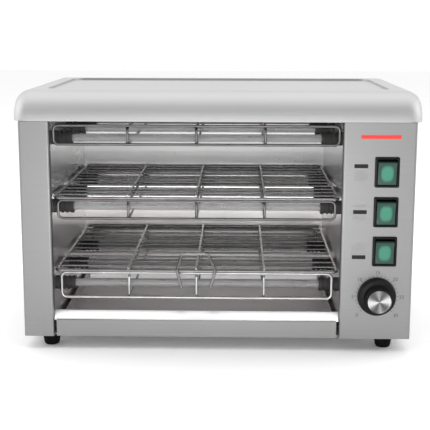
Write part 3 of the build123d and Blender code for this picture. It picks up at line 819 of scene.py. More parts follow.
def coil_tree() -> GrowthTree:
    """Build the tree that winds a heating coil at each seed point, along X."""
    grown = GrowthTree(
        "wound_coil",
        {
            "Turns": ("NodeSocketFloat", 60.0),
            "Coil radius": ("NodeSocketFloat", 0.002),
            "Length": ("NodeSocketFloat", 0.25),
            "Wire radius": ("NodeSocketFloat", 0.0004),
            "Finish": ("NodeSocketMaterial", None),
        },
    )
    turns = grown.node(
        "GeometryNodeCurveSpiral",
        {},
        {
            "Resolution": 12,
            "Rotations": "Turns",
            "Start Radius": "Coil radius",
            "End Radius": "Coil radius",
            "Height": "Length",
        },
    )
    laid = grown.node(
        "GeometryNodeTransform", {}, {"Geometry": turns.outputs[0], "Rotation": (0.0, math.radians(90), 0.0)}
    )
    wire = grown.swept(laid.outputs[0], facets=5)
    placed = grown.node("GeometryNodeInstanceOnPoints", {}, {"Points": "Geometry", "Instance": wire})
    grown.close(placed.outputs[0])
    return grown


def rung_tree() -> GrowthTree:
    """Build the tree that lays equal straight wires side by side from one seed wire."""
    grown = GrowthTree(
        "laid_rungs",
        {
            "Count": ("NodeSocketInt", 3),
            "Step": ("NodeSocketVector", (0.0, 0.0, 0.0)),
            "Wire radius": ("NodeSocketFloat", 0.0012),
            "Finish": ("NodeSocketMaterial", None),
        },
    )
    path = grown.node("GeometryNodeMeshToCurve", {}, {0: "Geometry"})
    wire = grown.swept(path.outputs[0])
    line = grown.node("GeometryNodeMeshLine", {"mode": "OFFSET"}, {"Count": "Count", "Offset": "Step"})
    placed = grown.node("GeometryNodeInstanceOnPoints", {}, {"Points": line.outputs[0], "Instance": wire})
    grown.close(placed.outputs[0])
    return grown


def copies_tree() -> GrowthTree:
    """Build the tree that sets a copy of one piece at each seed point."""
    grown = GrowthTree(
        "set_copies", {"Original": ("NodeSocketObject", None), "Finish": ("NodeSocketMaterial", None)}
    )
    original = grown.node("GeometryNodeObjectInfo", {}, {"Object": "Original"})
    geometry = next(out for out in original.outputs if out.name == "Geometry")
    placed = grown.node("GeometryNodeInstanceOnPoints", {}, {"Points": "Geometry", "Instance": geometry})
    grown.close(placed.outputs[0])
    return grown


def grown_piece(
    name: str, meshes: Sequence[bpy.types.Mesh], finish: Finish, body: str, replaces: Sequence[str] = ()
) -> bpy.types.Object:
    """Join grown meshes into one piece that rides on a CAD body."""
    shape = bmesh.new()
    for mesh in meshes:
        shape.from_mesh(mesh)
        bpy.data.meshes.remove(mesh)
    return piece(name, shape, finish, body, replaces, smooth=50.0)


def set_copies(
    name: str,
    original: bmesh.types.BMesh,
    places: Sequence[Vector],
    finish: Finish,
    replaces: Sequence[str] = (),
) -> bpy.types.Object:
    """Set a copy of one small shape at each place, on the casing."""
    mesh = bpy.data.meshes.new(name + "_original")
    original.to_mesh(mesh)
    original.free()
    model = bpy.data.objects.new(name + "_original", mesh)
    bpy.context.scene.collection.objects.link(model)
    seed = seed_mesh(name + "_places", [([place], False) for place in places])
    made = copies_tree().grow(name, seed, {"Original": model, "Finish": finish.material()})
    bpy.data.objects.remove(model)
    return grown_piece(name, [made], finish, "casing", replaces)


# ---------------------------------------------------------------------------- shared places
FRONT = -130.5  # millimetres from the frame's middle to the casing's front face
OPEN_LEFT = -174.7
OPEN_RIGHT = 130.9
OPEN_MIDDLE = (OPEN_LEFT + OPEN_RIGHT) / 2
COLUMNS = tuple(OPEN_MIDDLE + n * 72.5 for n in (-1, 0, 1))
TUBE_DEPTHS = (28.0, 123.0, 218.0)


def at(x: float, depth: float, z: float) -> Vector:
    """Point in metres from millimetres, with the depth counted from the casing's front face."""
    return Vector((x, FRONT + depth, z)) * MM


@dataclass(frozen=True)
class Level:
    """One level of tubes with its guard, in millimetres."""

    name: str
    tube_z: float
    guard_low: float
    guard_high: float
    inset: float
    wire: Finish


# The upper and middle guards take the darker wire, painted shade; the lower guard takes the bright wire.
LEVELS = (
    Level("upper", 226.0, 220.8, 240.5, 3.0, PAINTED_SHADE_WIRE),
    Level("middle", 152.0, 141.7, 161.2, 6.0, PAINTED_SHADE_WIRE),
    Level("lower", 67.0, 55.5, 82.7, 8.0, WIRE),
)


# ---------------------------------------------------------------------------- sub-assemblies
@dataclass
class Shell:
    """Hood, casings, base, rear panel, feet, louvres and screws, in millimetres."""

    body_depth: float = 272.0
    hood_depth: float = 276.0
    screw_profile: tuple[tuple[float, float], ...] = (
        (0.0, -8.0), (1.2, -8.0), (1.7, -7.4), (1.7, 0.0), (3.6, 0.0), (3.58, 0.7),
        (3.2, 1.4), (2.6, 1.8), (2.3, 1.95), (2.0, 2.0), (1.7, 1.0), (0.0, 0.8),
    )
    recess_levels: tuple[float, float, float] = (0.75, 1.05, 2.0)
    recess_radii: tuple[float, float] = (1.7, 2.0)
    recess_reach: float = 1.9
    recess_half: float = 0.42
    rear_screw_x: float = 200.0
    rear_screw_z: tuple[float, ...] = (35.0, 130.0, 225.0)
    hood_screw_x: tuple[float, ...] = (-150.0, 0.0, 150.0)
    hood_screw_z: float = 257.7
    foot_x: float = 181.0
    foot_depths: tuple[float, ...] = (20.0, 250.0)
    foot_profile: tuple[tuple[float, float], ...] = (
        (4.6, 0.4), (4.9, 0.05), (6.4, 0.05), (7.3, 0.5), (8.1, 1.8), (8.6, 3.6), (8.9, 5.4), (8.8, 5.7),
        (9.0, 6.3), (9.2, 8.6), (9.3, 11.6), (9.2, 13.4), (8.8, 13.95), (2.2, 13.95), (2.2, 6.0), (4.5, 6.0),
    )
    louvre_half: float = 33.0
    louvre_drop: float = 6.4
    louvre_bulge: float = 3.2
    louvre_steel: float = 0.7
    louvre_column: float = 95.0
    louvre_pitch: float = 11.0
    louvre_rows: int = 6
    louvre_middle: float = 138.25
    louvre_raise: float = 0.55
    gland_place: tuple[float, float] = (170.0, 48.0)
    gland_flats: tuple[float, float] = (0.09, 4.25)
    gland_profile: tuple[tuple[float, float], ...] = (
        (4.25, -12.0), (7.3, -12.0), (7.4, 0.1), (10.9, 0.1), (11.0, 0.6), (11.0, 3.6), (10.4, 4.2),
        (8.6, 4.3), (8.5, 6.8), (8.1, 7.1), (8.4, 9.3), (7.8, 9.6), (8.0, 11.8), (7.4, 12.1), (7.5, 13.2),
        (6.6, 13.95), (4.8, 13.95), (4.25, 13.4),
    )

    def plus(self, angle: float) -> float:
        """Reach of the cross recess at an angle."""
        across, upright = (max(abs(f(angle)), 1e-6) for f in (math.cos, math.sin))
        first = min(self.recess_reach / across, self.recess_half / upright)
        return max(first, min(self.recess_reach / upright, self.recess_half / across))

    def ripple(self, height: float, angle: float) -> float:
        """Share of the radius in a screw's recess, and one elsewhere."""
        level = height / MM
        low, high, top = self.recess_levels
        if not low < level < high and level != top:
            return 1.0
        return self.plus(angle) / self.recess_radii[level == top]

    def screws(self, name: str, places: Sequence[Vector], node: str) -> None:
        """Set cross-recessed screws with their heads to the rear."""
        shape = bmesh.new()
        profile = [(r * MM, h * MM) for r, h in self.screw_profile]
        lathe(shape, profile, Matrix.Rotation(math.radians(-90), 4, "X"), 48, self.ripple)
        set_copies(name, shape, places, SCREW, [node])

    def feet(self) -> None:
        """Turn the four rubber feet."""
        profile = [(r * MM, h * MM) for r, h in self.foot_profile]
        for side, x in (("left", -self.foot_x), ("right", self.foot_x)):
            for end, depth in zip(("front", "rear"), self.foot_depths):
                shape = bmesh.new()
                lathe(shape, profile, Matrix.Translation(at(x, depth, 0)), 64)
                piece(f"foot_{end}_{side}", shape, RUBBER, "casing", [f"{end}_{side}_foot"])

    def louvres(self) -> None:
        """Press a half-round louvre over each slot in the rear panel."""
        shape = bmesh.new()
        across, down = 24, 8
        skins = []
        for inner in (0.0, self.louvre_steel):
            rows = []
            for v in range(down + 1):
                turn = math.pi / 2 * v / down
                row = []
                for u in range(across + 1):
                    share = 2 * u / across - 1
                    swell = max(0.0, 1 - abs(share) ** 5) ** 0.5
                    out = max(0.0, self.louvre_bulge * swell - inner) * math.sin(turn)
                    z = self.louvre_drop * (self.louvre_raise - (1 - math.cos(turn))) - inner * math.cos(turn)
                    row.append(Vector((share * (self.louvre_half - inner), out, z)) * MM)
                rows.append([shape.verts.new(point) for point in row])
            skins.append(rows)
        for rows in skins:
            for v in range(down):
                for u in range(across):
                    shape.faces.new((rows[v][u], rows[v][u + 1], rows[v + 1][u + 1], rows[v + 1][u]))
        rims = [[rows[0] for rows in skins], [rows[-1] for rows in skins]]
        rims += [[[row[edge] for row in rows] for rows in skins] for edge in (0, -1)]
        for outer, within in rims:
            for n in range(len(outer) - 1):
                shape.faces.new((outer[n], outer[n + 1], within[n + 1], within[n]))
        bmesh.ops.recalc_face_normals(shape, faces=shape.faces[:])
        middle = (self.louvre_rows - 1) / 2
        places = [
            at(x, self.body_depth + 0.05, self.louvre_middle + (n - middle) * self.louvre_pitch)
            for x in (-self.louvre_column, self.louvre_column)
            for n in range(self.louvre_rows)
        ]
        set_copies("rear_louvres", shape, places, CASING)

    def hexed(self, height: float, angle: float) -> float:
        """Share of the radius that gives the gland's flange its six flats."""
        if not self.gland_flats[0] < height / MM < self.gland_flats[1]:
            return 1.0
        return math.cos(math.pi / 6) / math.cos((angle % (math.pi / 3)) - math.pi / 6)

    def gland(self) -> None:
        """Turn the cable gland with its hexagon and ribbed nose."""
        shape = bmesh.new()
        x, z = self.gland_place
        turn = Matrix.Translation(at(x, self.body_depth, z)) @ Matrix.Rotation(math.radians(-90), 4, "X")
        lathe(shape, [(r * MM, h * MM) for r, h in self.gland_profile], turn, 72, self.hexed)
        piece("supply_gland", shape, GLAND, "casing", ["cable_gland"])

    def build(self, frame: dict) -> None:
        """Dress the folded sheets and add the small parts on them."""
        for finish, nodes in (
            (HOOD_STEEL, ["hood"]),
            (CASING, ["left_casing", "right_casing", "rear_panel"]),
            (BASE_STEEL, ["base_pan"]),
            (SCREW, ["foot_screws"]),
            (BLOCK, ["terminal_block"]),
            (LEAD, ["leads"]),
        ):
            dress(frame, finish, nodes)
        sides = (-self.rear_screw_x, self.rear_screw_x)
        rear = [at(x, self.body_depth, z) for x in sides for z in self.rear_screw_z]
        self.screws("screws_rear", rear, "rear_screws")
        hood = [at(x, self.hood_depth, self.hood_screw_z) for x in self.hood_screw_x]
        self.screws("screws_hood", hood, "hood_screws")
        self.feet()
        self.louvres()
        self.gland()


@dataclass
class Cavity:
    """Bright walls, back and ceiling of the cooking space, and the crumb tray, in millimetres."""

    tray_left: float = -172.0
    tray_right: float = 128.2
    tray_low: float = 15.3
    tray_high: float = 27.3
    tray_depth: float = 246.0
    tray_front: float = 0.5
    tray_corner: float = 2.5
    panel_low: float = 14.4
    panel_high: float = 33.6
    lip_gap: float = 0.6
    lip_profile: tuple[tuple[float, float], ...] = (
        (0.0, 32.7), (0.0, 33.35), (0.12, 33.72), (0.35, 34.0), (7.75, 41.4), (8.1, 41.6), (8.5, 41.6),
        (8.75, 41.35), (8.8, 41.0), (8.8, 38.6), (8.05, 38.6), (8.05, 40.1), (0.9, 32.95), (0.8, 32.7),
    )

    def tray(self) -> None:
        """Fold the crumb tray with its front panel, and its sloping lip; the pan and the lip take much
        lighter copies of the tray steel, as painted light and a painted highlight.
        """
        width, middle = self.tray_right - self.tray_left, (self.tray_left + self.tray_right) / 2
        low, high, front = self.tray_low, self.tray_high, self.tray_front
        shape = bmesh.new()
        loops = (
            (1.2, low), (0.35, low + 0.35), (0.0, low + 1.2), (0.0, high - 0.2), (0.2, high), (0.6, high),
            (0.8, high - 0.2), (0.8, low + 1.6), (1.2, low + 0.8),
        )
        rings = []
        for inset, z in loops:
            long, corner = self.tray_depth - front - 2 * inset, self.tray_corner - inset
            outline = rounded_loop(width - 2 * inset, long, corner)
            rings.append([at(middle + x, front + self.tray_depth / 2 - front / 2 + y, z) for x, y in outline])
        lofted(shape, rings)
        piece("tray_pan", shape, PAN, "tray", ["crumb_tray"])
        shape = bmesh.new()
        height, level = self.panel_high - self.panel_low, (self.panel_low + self.panel_high) / 2
        rings = []
        for inset, depth in ((0.2, 1.0), (0.0, 0.8), (0.0, 0.25), (0.25, 0.0)):
            outline = rounded_loop(width - 2 * inset, height - 2 * inset, 0.6, 3)
            rings.append([at(middle + x, depth, level + z) for x, z in outline])
        lofted(shape, rings)
        piece("tray_panel", shape, TRAY, "tray", ["crumb_tray"])
        shape = bmesh.new()
        ends = (OPEN_LEFT + self.lip_gap, OPEN_RIGHT - self.lip_gap)
        lofted(shape, [[at(x, depth, z) for depth, z in self.lip_profile] for x in ends])
        piece("tray_lip", shape, LIP, "tray", ["crumb_tray"])

    def build(self, frame: dict) -> None:
        """Give the liner its finish and build the tray."""
        dress(frame, LINER, ["cavity_left_wall", "cavity_right_wall", "cavity_ceiling"])
        dress(frame, BACKING, ["cavity_back"])
        self.tray()


@dataclass
class Heaters:
    """Quartz tubes, their ceramic holders, coils and links, in millimetres."""

    wall_left: float = -176.2
    wall_right: float = 132.4
    liner: float = 0.8
    seat: float = 12.0
    reach: float = 22.0
    tail: float = 6.0
    tube_radius: float = 4.5
    tube_bore: float = 3.5
    holder_radius: float = 7.5
    grooves: tuple[float, ...] = (17.0, 12.0, 7.0)
    groove_halves: tuple[float, float] = (1.6, 1.0)
    groove_depth: float = 0.9
    collar_span: tuple[float, float] = (-0.9, -3.9)
    collar_radius: float = 10.0
    coil_radius: float = 1.95
    coil_wire: float = 0.33
    coil_turns: float = 118.0
    pin_radius: float = 1.3
    pin_reach: float = 5.0

    def tube(self, level: Level, number: int) -> None:
        """Turn one tube with fire-polished ends."""
        left, right = self.wall_left + self.seat, self.wall_right - self.seat
        rim = 0.3
        outer, bore = self.tube_radius, self.tube_bore
        profile = [(bore, left + rim), (bore + rim, left), (outer - rim, left), (outer, left + rim)]
        profile += [(outer, left + (right - left) * n / 6) for n in range(1, 6)]
        profile += [(outer, right - rim), (outer - rim, right), (bore + rim, right), (bore, right - rim)]
        shape = bmesh.new()
        place = at(0, TUBE_DEPTHS[number - 1], level.tube_z)
        lathe(shape, [(r * MM, x * MM) for r, x in profile], along_x(*place), 40)
        piece(f"quartz_{level.name}_{number}", shape, QUARTZ, "casing", [f"{level.name}_tube_{number}"])

    def holders(self, level: Level, side: str) -> None:
        """Turn the three ribbed ceramics at one side of a level."""
        inward = 1 if side == "left" else -1
        wall = self.wall_left if side == "left" else self.wall_right
        outer, rim = self.holder_radius, 0.5
        hole, pin = self.tube_radius + 0.1, self.pin_radius + 0.1
        profile = [(hole, self.reach - rim), (hole + rim, self.reach)]
        profile += [(outer - rim, self.reach), (outer, self.reach - rim)]
        waist, wide, narrow = outer - self.groove_depth, *self.groove_halves
        for groove in self.grooves:
            profile += [(outer, groove + wide), (waist, groove + narrow)]
            profile += [(waist, groove - narrow), (outer, groove - wide)]
        collar, (near, far), end = self.collar_radius, self.collar_span, -self.liner - self.tail
        profile += [(outer, near), (collar - rim, near), (collar, near - rim)]
        profile += [(collar, far), (outer, far), (outer, end + rim)]
        profile += [(outer - rim, end), (pin, end)]
        profile += [(pin, self.seat - 0.1), (hole, self.seat - 0.1)]
        shape = bmesh.new()
        for depth in TUBE_DEPTHS:
            place = at(0, depth, level.tube_z)
            lathe(shape, [(r * MM, (wall + inward * x) * MM) for r, x in profile], along_x(*place), 40)
        piece(f"ceramics_{level.name}_{side}", shape, CERAMIC, "casing", [f"{level.name}_{side}_holders"])

    def coils(self, level: Level) -> None:
        """Wind the three coils of a level and set their end pins."""
        left, right = self.wall_left + 2 * self.seat, self.wall_right - 2 * self.seat
        starts = [([at(left, depth, level.tube_z)], False) for depth in TUBE_DEPTHS]
        values = {
            "Turns": self.coil_turns,
            "Coil radius": self.coil_radius * MM,
            "Length": (right - left) * MM,
            "Wire radius": self.coil_wire * MM,
            "Finish": COIL.material(),
        }
        name = f"coils_{level.name}"
        wound = coil_tree().grow(name, seed_mesh(name, starts), values)
        far = self.liner + self.tail + self.pin_reach
        ends = ((self.wall_left - far, left + 0.6), (right - 0.6, self.wall_right + far))
        z = level.tube_z
        pins = [([at(a, d, z), at(b, d, z)], False) for d in TUBE_DEPTHS for a, b in ends]
        grown = bent(name + "_pins", pins, 1.0, self.pin_radius, COIL)
        grown_piece(name, [wound, grown], COIL, "casing", [f"{level.name}_coils"])

    def build(self, frame: dict) -> None:
        """Build every level."""
        for level in LEVELS:
            for number in (1, 2, 3):
                self.tube(level, number)
            for side in ("left", "right"):
                self.holders(level, side)
            self.coils(level)
        dress(frame, LINK, ["element_links"])


def bent(
    name: str, chains: Sequence[tuple[Sequence[Vector], bool]], bend: float, wire: float, finish: Finish
) -> bpy.types.Mesh:
    """Bend wires along chains of points.

    Args:
        name: Name of the finished mesh.
        chains: Points of each wire in metres, and whether it closes.
        bend: Bend radius in millimetres.
        wire: Wire radius in millimetres.
        finish: The wire's finish.

    Returns:
        The wires as one mesh.
    """
    values = {"Bend radius": bend * MM, "Wire radius": wire * MM, "Finish": finish.material()}
    return wire_tree().grow(name, seed_mesh(name, chains), values)


@dataclass
class Wirework:
    """Guards round the tubes and the two sliding racks, in millimetres."""

    guard_front: float = 10.0
    guard_rear: float = 245.0
    guard_wire: float = 1.5
    guard_bend: float = 5.0
    column_wire: float = 1.4
    column_bend: float = 3.5
    lap: float = 3.1
    sink: float = 2.5
    rack_front: float = 5.0
    rack_pitch: float = 22.0
    rack_bars: int = 12
    rack_inset: float = 3.0
    rack_frame_wire: float = 1.5
    rack_bar_wire: float = 1.2
    rack_bend: float = 6.0
    stay_rise: float = 2.1
    upper_z: float = 164.5
    lower_z: float = 86.0
    handle_wire: float = 1.6
    handle_bend: float = 6.0
    handle_lap: float = 3.3
    handle_reach: float = 21.0
    handle_rise: float = 25.0
    handle_drop: float = 18.0
    handle_spreads: tuple[float, float, float] = (31.0, 41.0, 27.0)

    def guard(self, level: Level) -> None:
        """Bend a guard's front and rear rings and its three loops."""
        left, right = OPEN_LEFT + level.inset, OPEN_RIGHT - level.inset
        low, high = level.guard_low, level.guard_high
        corners = [(left, low), (right, low), (right, high), (left, high)]
        rings = [([at(x, d, z) for x, z in corners], True) for d in (self.guard_front, self.guard_rear)]
        near, far = self.guard_front + self.lap, self.guard_rear - self.lap
        under, over = low - self.sink / 2, high - self.sink
        sides = [(near, under), (far, under), (far, over), (near, over)]
        loops = [([at(x, d, z) for d, z in sides], True) for x in COLUMNS]
        name = f"guard_{level.name}"
        meshes = [
            bent(name + "_rings", rings, self.guard_bend, self.guard_wire, level.wire),
            bent(name + "_loops", loops, self.column_bend, self.column_wire, level.wire),
        ]
        nodes = [f"{level.name}_guard_rings", f"{level.name}_guard_loops"]
        grown_piece(name, meshes, level.wire, "casing", nodes)

    def rack(self, name: str, z: float, body: str, nodes: Sequence[str]) -> None:
        """Bend a rack's frame, lay its bars and stays, and bend its handle where it has one."""
        left, right = OPEN_LEFT + self.rack_inset, OPEN_RIGHT - self.rack_inset
        rear = self.rack_front + self.rack_pitch * (self.rack_bars - 1)
        corners = [(left, self.rack_front), (right, self.rack_front), (right, rear), (left, rear)]
        frame = [([at(x, d, z) for x, d in corners], True)]
        meshes = [bent(name + "_frame", frame, self.rack_bend, self.rack_frame_wire, RACK_WIRE)]
        first = self.rack_front + self.rack_pitch
        bar = [at(left, first, z), at(right, first, z)]
        meshes.append(self.rungs(name + "_bars", bar, self.rack_bars - 2, (0.0, self.rack_pitch * MM, 0.0)))
        stay = [at(COLUMNS[0], d, z + self.stay_rise) for d in (self.rack_front, rear)]
        meshes.append(self.rungs(name + "_stays", stay, 3, ((COLUMNS[1] - COLUMNS[0]) * MM, 0.0, 0.0)))
        if "rack_handle" in nodes:
            path = [(self.handle_path(z), False)]
            meshes.append(bent(name + "_handle", path, self.handle_bend, self.handle_wire, RACK_WIRE))
        grown_piece(name, meshes, RACK_WIRE, body, nodes)

    def rungs(self, name: str, ends: Sequence[Vector], count: int, step: Sequence[float]) -> bpy.types.Mesh:
        """Lay equal straight wires side by side."""
        values = {
            "Count": count,
            "Step": step,
            "Wire radius": self.rack_bar_wire * MM,
            "Finish": RACK_WIRE.material(),
        }
        return rung_tree().grow(name, seed_mesh(name, [(ends, False)]), values)

    def handle_path(self, z: float) -> list[Vector]:
        """Points of the handle, from one tail over the grip to the other."""
        tail, leg, grip = (spread / 2 for spread in self.handle_spreads)
        spots = (
            (tail, self.rack_front - self.handle_lap / 2, z - self.handle_drop),
            (leg, self.rack_front - self.handle_lap, z + self.handle_wire),
            (grip, -self.handle_reach, z + self.handle_rise),
        )
        left, right = ([at(OPEN_MIDDLE + side * x, d, h) for x, d, h in spots] for side in (-1, 1))
        return left + right[::-1]

    def build(self, frame: dict) -> None:
        """Build the guards and the racks."""
        for level in LEVELS:
            self.guard(level)
        self.rack("rack_top_wires", self.upper_z, "rack_upper", ["upper_rack"])
        self.rack("rack_low_wires", self.lower_z, "rack_lower", ["lower_rack", "rack_handle"])


@dataclass
class Controls:
    """Rocker switches and the timer knob with the printed marks beside them, in millimetres."""

    switch_x: float = 176.8
    switch_z: tuple[float, ...] = (194.2, 152.1, 110.0)
    switch_bodies: tuple[str, ...] = ("rocker_top", "rocker_centre", "rocker_low")
    pivot: float = 6.0
    rise: float = 10.2
    hollow: float = 1.5
    half_height: float = 11.7
    rocker_width: float = 19.2
    skirt: float = 4.0
    hub: float = 4.6
    tilt: float = 8.0
    edge: float = 0.55
    stub_radius: float = 1.45
    stub_reach: float = 0.85
    knob: tuple[float, float] = (170.0, 61.3)
    ridge_place: float = 17.0
    flutes: int = 30
    flute_depth: float = 0.022
    flute_ends: tuple[tuple[float, float], tuple[float, float]] = ((9.0, 1.5), (23.2, 1.0))
    cap_low: float = 23.85
    cap_face: float = 24.72
    cap_ring: float = 0.05
    cap_rings: int = 30
    cap_step: float = 0.35
    print_height: float = 0.06
    stripe: tuple[float, float, float, float] = (149.0, 190.5, 229.0, 233.0)
    ticks: int = 25
    tick_span: float = 270.0
    tick_reach: tuple[float, float, float] = (21.6, 22.9, 23.7)
    tick_half: float = 0.28
    dial: tuple[tuple[float, float], ...] = (
        (-20.3, -21.2), (-25.4, -0.9), (-18.2, 17.9), (0.6, 25.6), (19.4, 18.3), (26.6, -1.0), (20.8, -21.2),
    )
    numbers: tuple[str, ...] = ("0", "5", "10", "15", "20", "25", "30")
    number_size: float = 5.4
    knob_profile: tuple[tuple[float, float], ...] = (
        (0.0, 1.9), (5.2, 1.9), (5.2, 0.8), (20.1, 0.8), (20.5, 1.2), (20.4, 3.2), (20.0, 5.6), (19.5, 7.0),
        (18.8, 7.75), (17.9, 8.0), (14.9, 8.0), (14.3, 8.3), (14.0, 9.0), (13.7, 15.0), (13.4, 21.5),
        (13.3, 23.6), (13.0, 24.2), (12.6, 24.4), (12.45, 23.9), (12.45, 23.8), (0.0, 23.8),
    )
    bars: tuple[tuple[float, float, float, float], ...] = (
        (142.7, 157.0, 198.4, 202.6), (142.7, 157.0, 150.0, 154.2), (142.7, 157.0, 101.6, 105.8),
    )
    boxes: tuple[tuple[float, float, float, float], ...] = (
        (143.2, 156.5, 185.0, 195.5), (143.2, 156.5, 156.7, 160.2), (143.2, 156.5, 142.6, 148.2),
        (143.2, 156.5, 108.6, 118.6),
    )

    def bezel(self, number: int, z: float) -> None:
        """Loft a switch body with its bevelled bezel and hollow window."""
        loops = (
            (22.2, 29.2, 0.8, 24.0), (22.4, 29.4, 0.8, 23.6), (22.4, 29.4, 0.8, 0.1),
            (25.4, 31.8, 1.6, 0.02), (25.6, 32.0, 1.7, -0.2), (25.6, 32.0, 1.7, -1.1),
            (25.3, 31.7, 1.6, -1.45), (24.7, 31.1, 1.4, -1.6), (21.0, 27.8, 0.9, -1.6),
            (20.4, 27.2, 0.8, -1.35), (20.0, 26.8, 0.7, -0.8), (20.0, 26.8, 0.7, 13.6),
        )
        rings = []
        for width, height, radius, depth in loops:
            outline = rounded_loop(width, height, radius)
            rings.append([at(self.switch_x + x, depth, z + up) for x, up in outline])
        shape = bmesh.new()
        lofted(shape, rings)
        piece(f"switch_body_{number}", shape, BEZEL, "casing", [f"switch_housing_{number}"])

    def rocker(self, number: int, z: float, body: str, finish: Finish) -> None:
        """Extrude a dished rocker, bevel it and tilt it about its pivot."""
        half, steps = self.half_height, 12
        outline = []
        for n in range(steps + 1):
            share = 2 * n / steps - 1
            outline.append((-self.rise + self.hollow * (1 - share * share), half * share))
        outline.append((-self.skirt, half))
        for n in range(7):
            angle = math.pi / 2 - math.pi * n / 6
            outline.append((self.hub * math.cos(angle), self.hub * math.sin(angle)))
        outline.append((-self.skirt, -half))
        shape = bmesh.new()
        sides = []
        for x in (-self.rocker_width / 2, self.rocker_width / 2):
            sides.append([shape.verts.new((x * MM, d * MM, up * MM)) for d, up in outline])
        shape.faces.new(sides[0])
        shape.faces.new(sides[1][::-1])
        for n in range(len(outline)):
            after = (n + 1) % len(outline)
            shape.faces.new((sides[0][n], sides[1][n], sides[1][after], sides[0][after]))
        bmesh.ops.recalc_face_normals(shape, faces=shape.faces[:])
        rim = [e for e in shape.edges if all(v.co.y < -self.skirt * MM * 1.01 for v in e.verts)]
        rim = [e for e in rim if e.calc_face_angle(0.0) > math.radians(40)]
        bmesh.ops.bevel(shape, geom=rim, offset=self.edge * MM, segments=3, profile=0.6, affect="EDGES")
        stub, round_stub = self.rocker_width / 2 + self.stub_reach, self.stub_radius
        turned = [(0, -stub), (round_stub, -stub), (round_stub, stub), (0, stub)]
        lathe(shape, [(r * MM, x * MM) for r, x in turned], along_x(0, 0, 0), 24)
        place = Matrix.Translation(at(self.switch_x, self.pivot, z))
        shape.transform(place @ Matrix.Rotation(math.radians(self.tilt), 4, "X"))
        piece(f"rocker_lens_{number}", shape, finish, body, [f"rocker_{number}"])

    def fluted(self, height: float, angle: float) -> float:
        """Share of the radius that cuts shallow flutes round the knob's grip."""
        (low, rise), (high, fall) = self.flute_ends
        level = height / MM
        share = max(0.0, min(1.0, (level - low) / rise)) * max(0.0, min(1.0, (high - level) / fall))
        return 1.0 - self.flute_depth * share * (0.5 + 0.5 * math.cos(self.flutes * angle)) ** 0.6

    def turn_knob(self) -> None:
        """Turn the knob, its spun cap and the moulded ridge that points to the scale."""
        x, z = self.knob
        turn = along_y(*at(x, 0, z))
        shape = bmesh.new()
        lathe(shape, [(r * MM, h * MM) for r, h in self.knob_profile], turn, 180, self.fluted)
        ridge = rounded_loop(1.5, 5.2, 0.7, 4)
        toward = Matrix.Translation(at(x, 0, z)) @ Matrix.Rotation(math.radians(-135), 4, "Y")
        levels = ((1.0, 7.9), (1.0, 8.25), (0.8, 8.5))
        out = self.ridge_place
        loops = [
            [toward @ Vector((a * k * MM, -h * MM, (b * k + out) * MM)) for a, b in ridge]
            for k, h in levels
        ]
        lofted(shape, loops)
        piece("knob_grip", shape, KNOB, "knob", ["timer_knob"])
        shape = bmesh.new()
        profile = [(0.0, self.cap_low), (12.25, self.cap_low), (12.25, 24.5), (12.1, 24.75)]
        profile += [(11.8, 24.9), (11.2, 24.95), (10.9, 24.8)]
        rings = range(1, self.cap_rings + 1)
        profile += [(10.9 - self.cap_step * n, self.cap_face + n % 2 * self.cap_ring) for n in rings]
        profile += [(0.0, self.cap_face)]
        lathe(shape, [(r * MM, h * MM) for r, h in profile], turn, 96)
        piece("knob_disc", shape, CAP, "knob", ["knob_cap"], smooth=50.0)

    def slab(self, shape: bmesh.types.BMesh, left: float, right: float, low: float, high: float) -> None:
        """Add one printed mark with rounded corners to a mesh."""
        outline = rounded_loop(right - left, high - low, min(0.5, (high - low) / 3), 3)
        centre = ((left + right) / 2, (low + high) / 2)
        loops = []
        for depth in (0.0, -self.print_height):
            loops.append([at(centre[0] + x, depth, centre[1] + z) for x, z in outline])
        lofted(shape, loops)

    def prints(self) -> None:
        """Print the switch marks and a plain red stripe, and then the timer's scale."""
        for name, finish, marks in (
            ("marks_dark", INK_DARK, self.bars),
            ("marks_grey", INK_FAINT, self.boxes),
            ("stripe_red", INK_RED, (self.stripe,)),
        ):
            shape = bmesh.new()
            for mark in marks:
                self.slab(shape, *mark)
            piece(name, shape, finish, "casing")
        self.dial_marks()

    def dial_marks(self) -> None:
        """Print the timer's ticks and numbers."""
        shape = bmesh.new()
        x, z = self.knob
        near, short, long = self.tick_reach
        for n in range(self.ticks):
            angle = math.radians(self.tick_span * (n / (self.ticks - 1) - 0.5))
            reach = (near, short if n % 4 else long)
            across = Vector((math.cos(angle), -math.sin(angle))) * self.tick_half
            away = Vector((math.sin(angle), math.cos(angle)))
            corners = [away * reach[0] - across, away * reach[0] + across]
            corners += [away * reach[1] + across, away * reach[1] - across]
            lofted(shape, [[at(x + c.x, d, z + c.y) for c in corners] for d in (0.0, -self.print_height)])
        for text, (right, up) in zip(self.numbers, self.dial):
            written = self.number(text)
            written.transform(Matrix.Translation(at(x + right, 0.0, z + up)))
            shape.from_mesh(written)
            bpy.data.meshes.remove(written)
        piece("dial_marks", shape, INK_GREY, "casing", smooth=None)

    def number(self, text: str) -> bpy.types.Mesh:
        """Write a number as a thin raised mesh that faces the front."""
        data = bpy.data.curves.new("dial_" + text, "FONT")
        data.body = text
        data.size = self.number_size * MM
        data.extrude = self.print_height * MM / 2
        data.align_x, data.align_y = "CENTER", "CENTER"
        made = bpy.data.objects.new("dial_" + text, data)
        bpy.context.scene.collection.objects.link(made)
        bpy.context.view_layer.update()
        mesh = bpy.data.meshes.new_from_object(made.evaluated_get(bpy.context.evaluated_depsgraph_get()))
        mesh.materials.clear()
        mesh.transform(Matrix.Rotation(math.radians(90), 4, "X"))
        bpy.data.objects.remove(made)
        return mesh

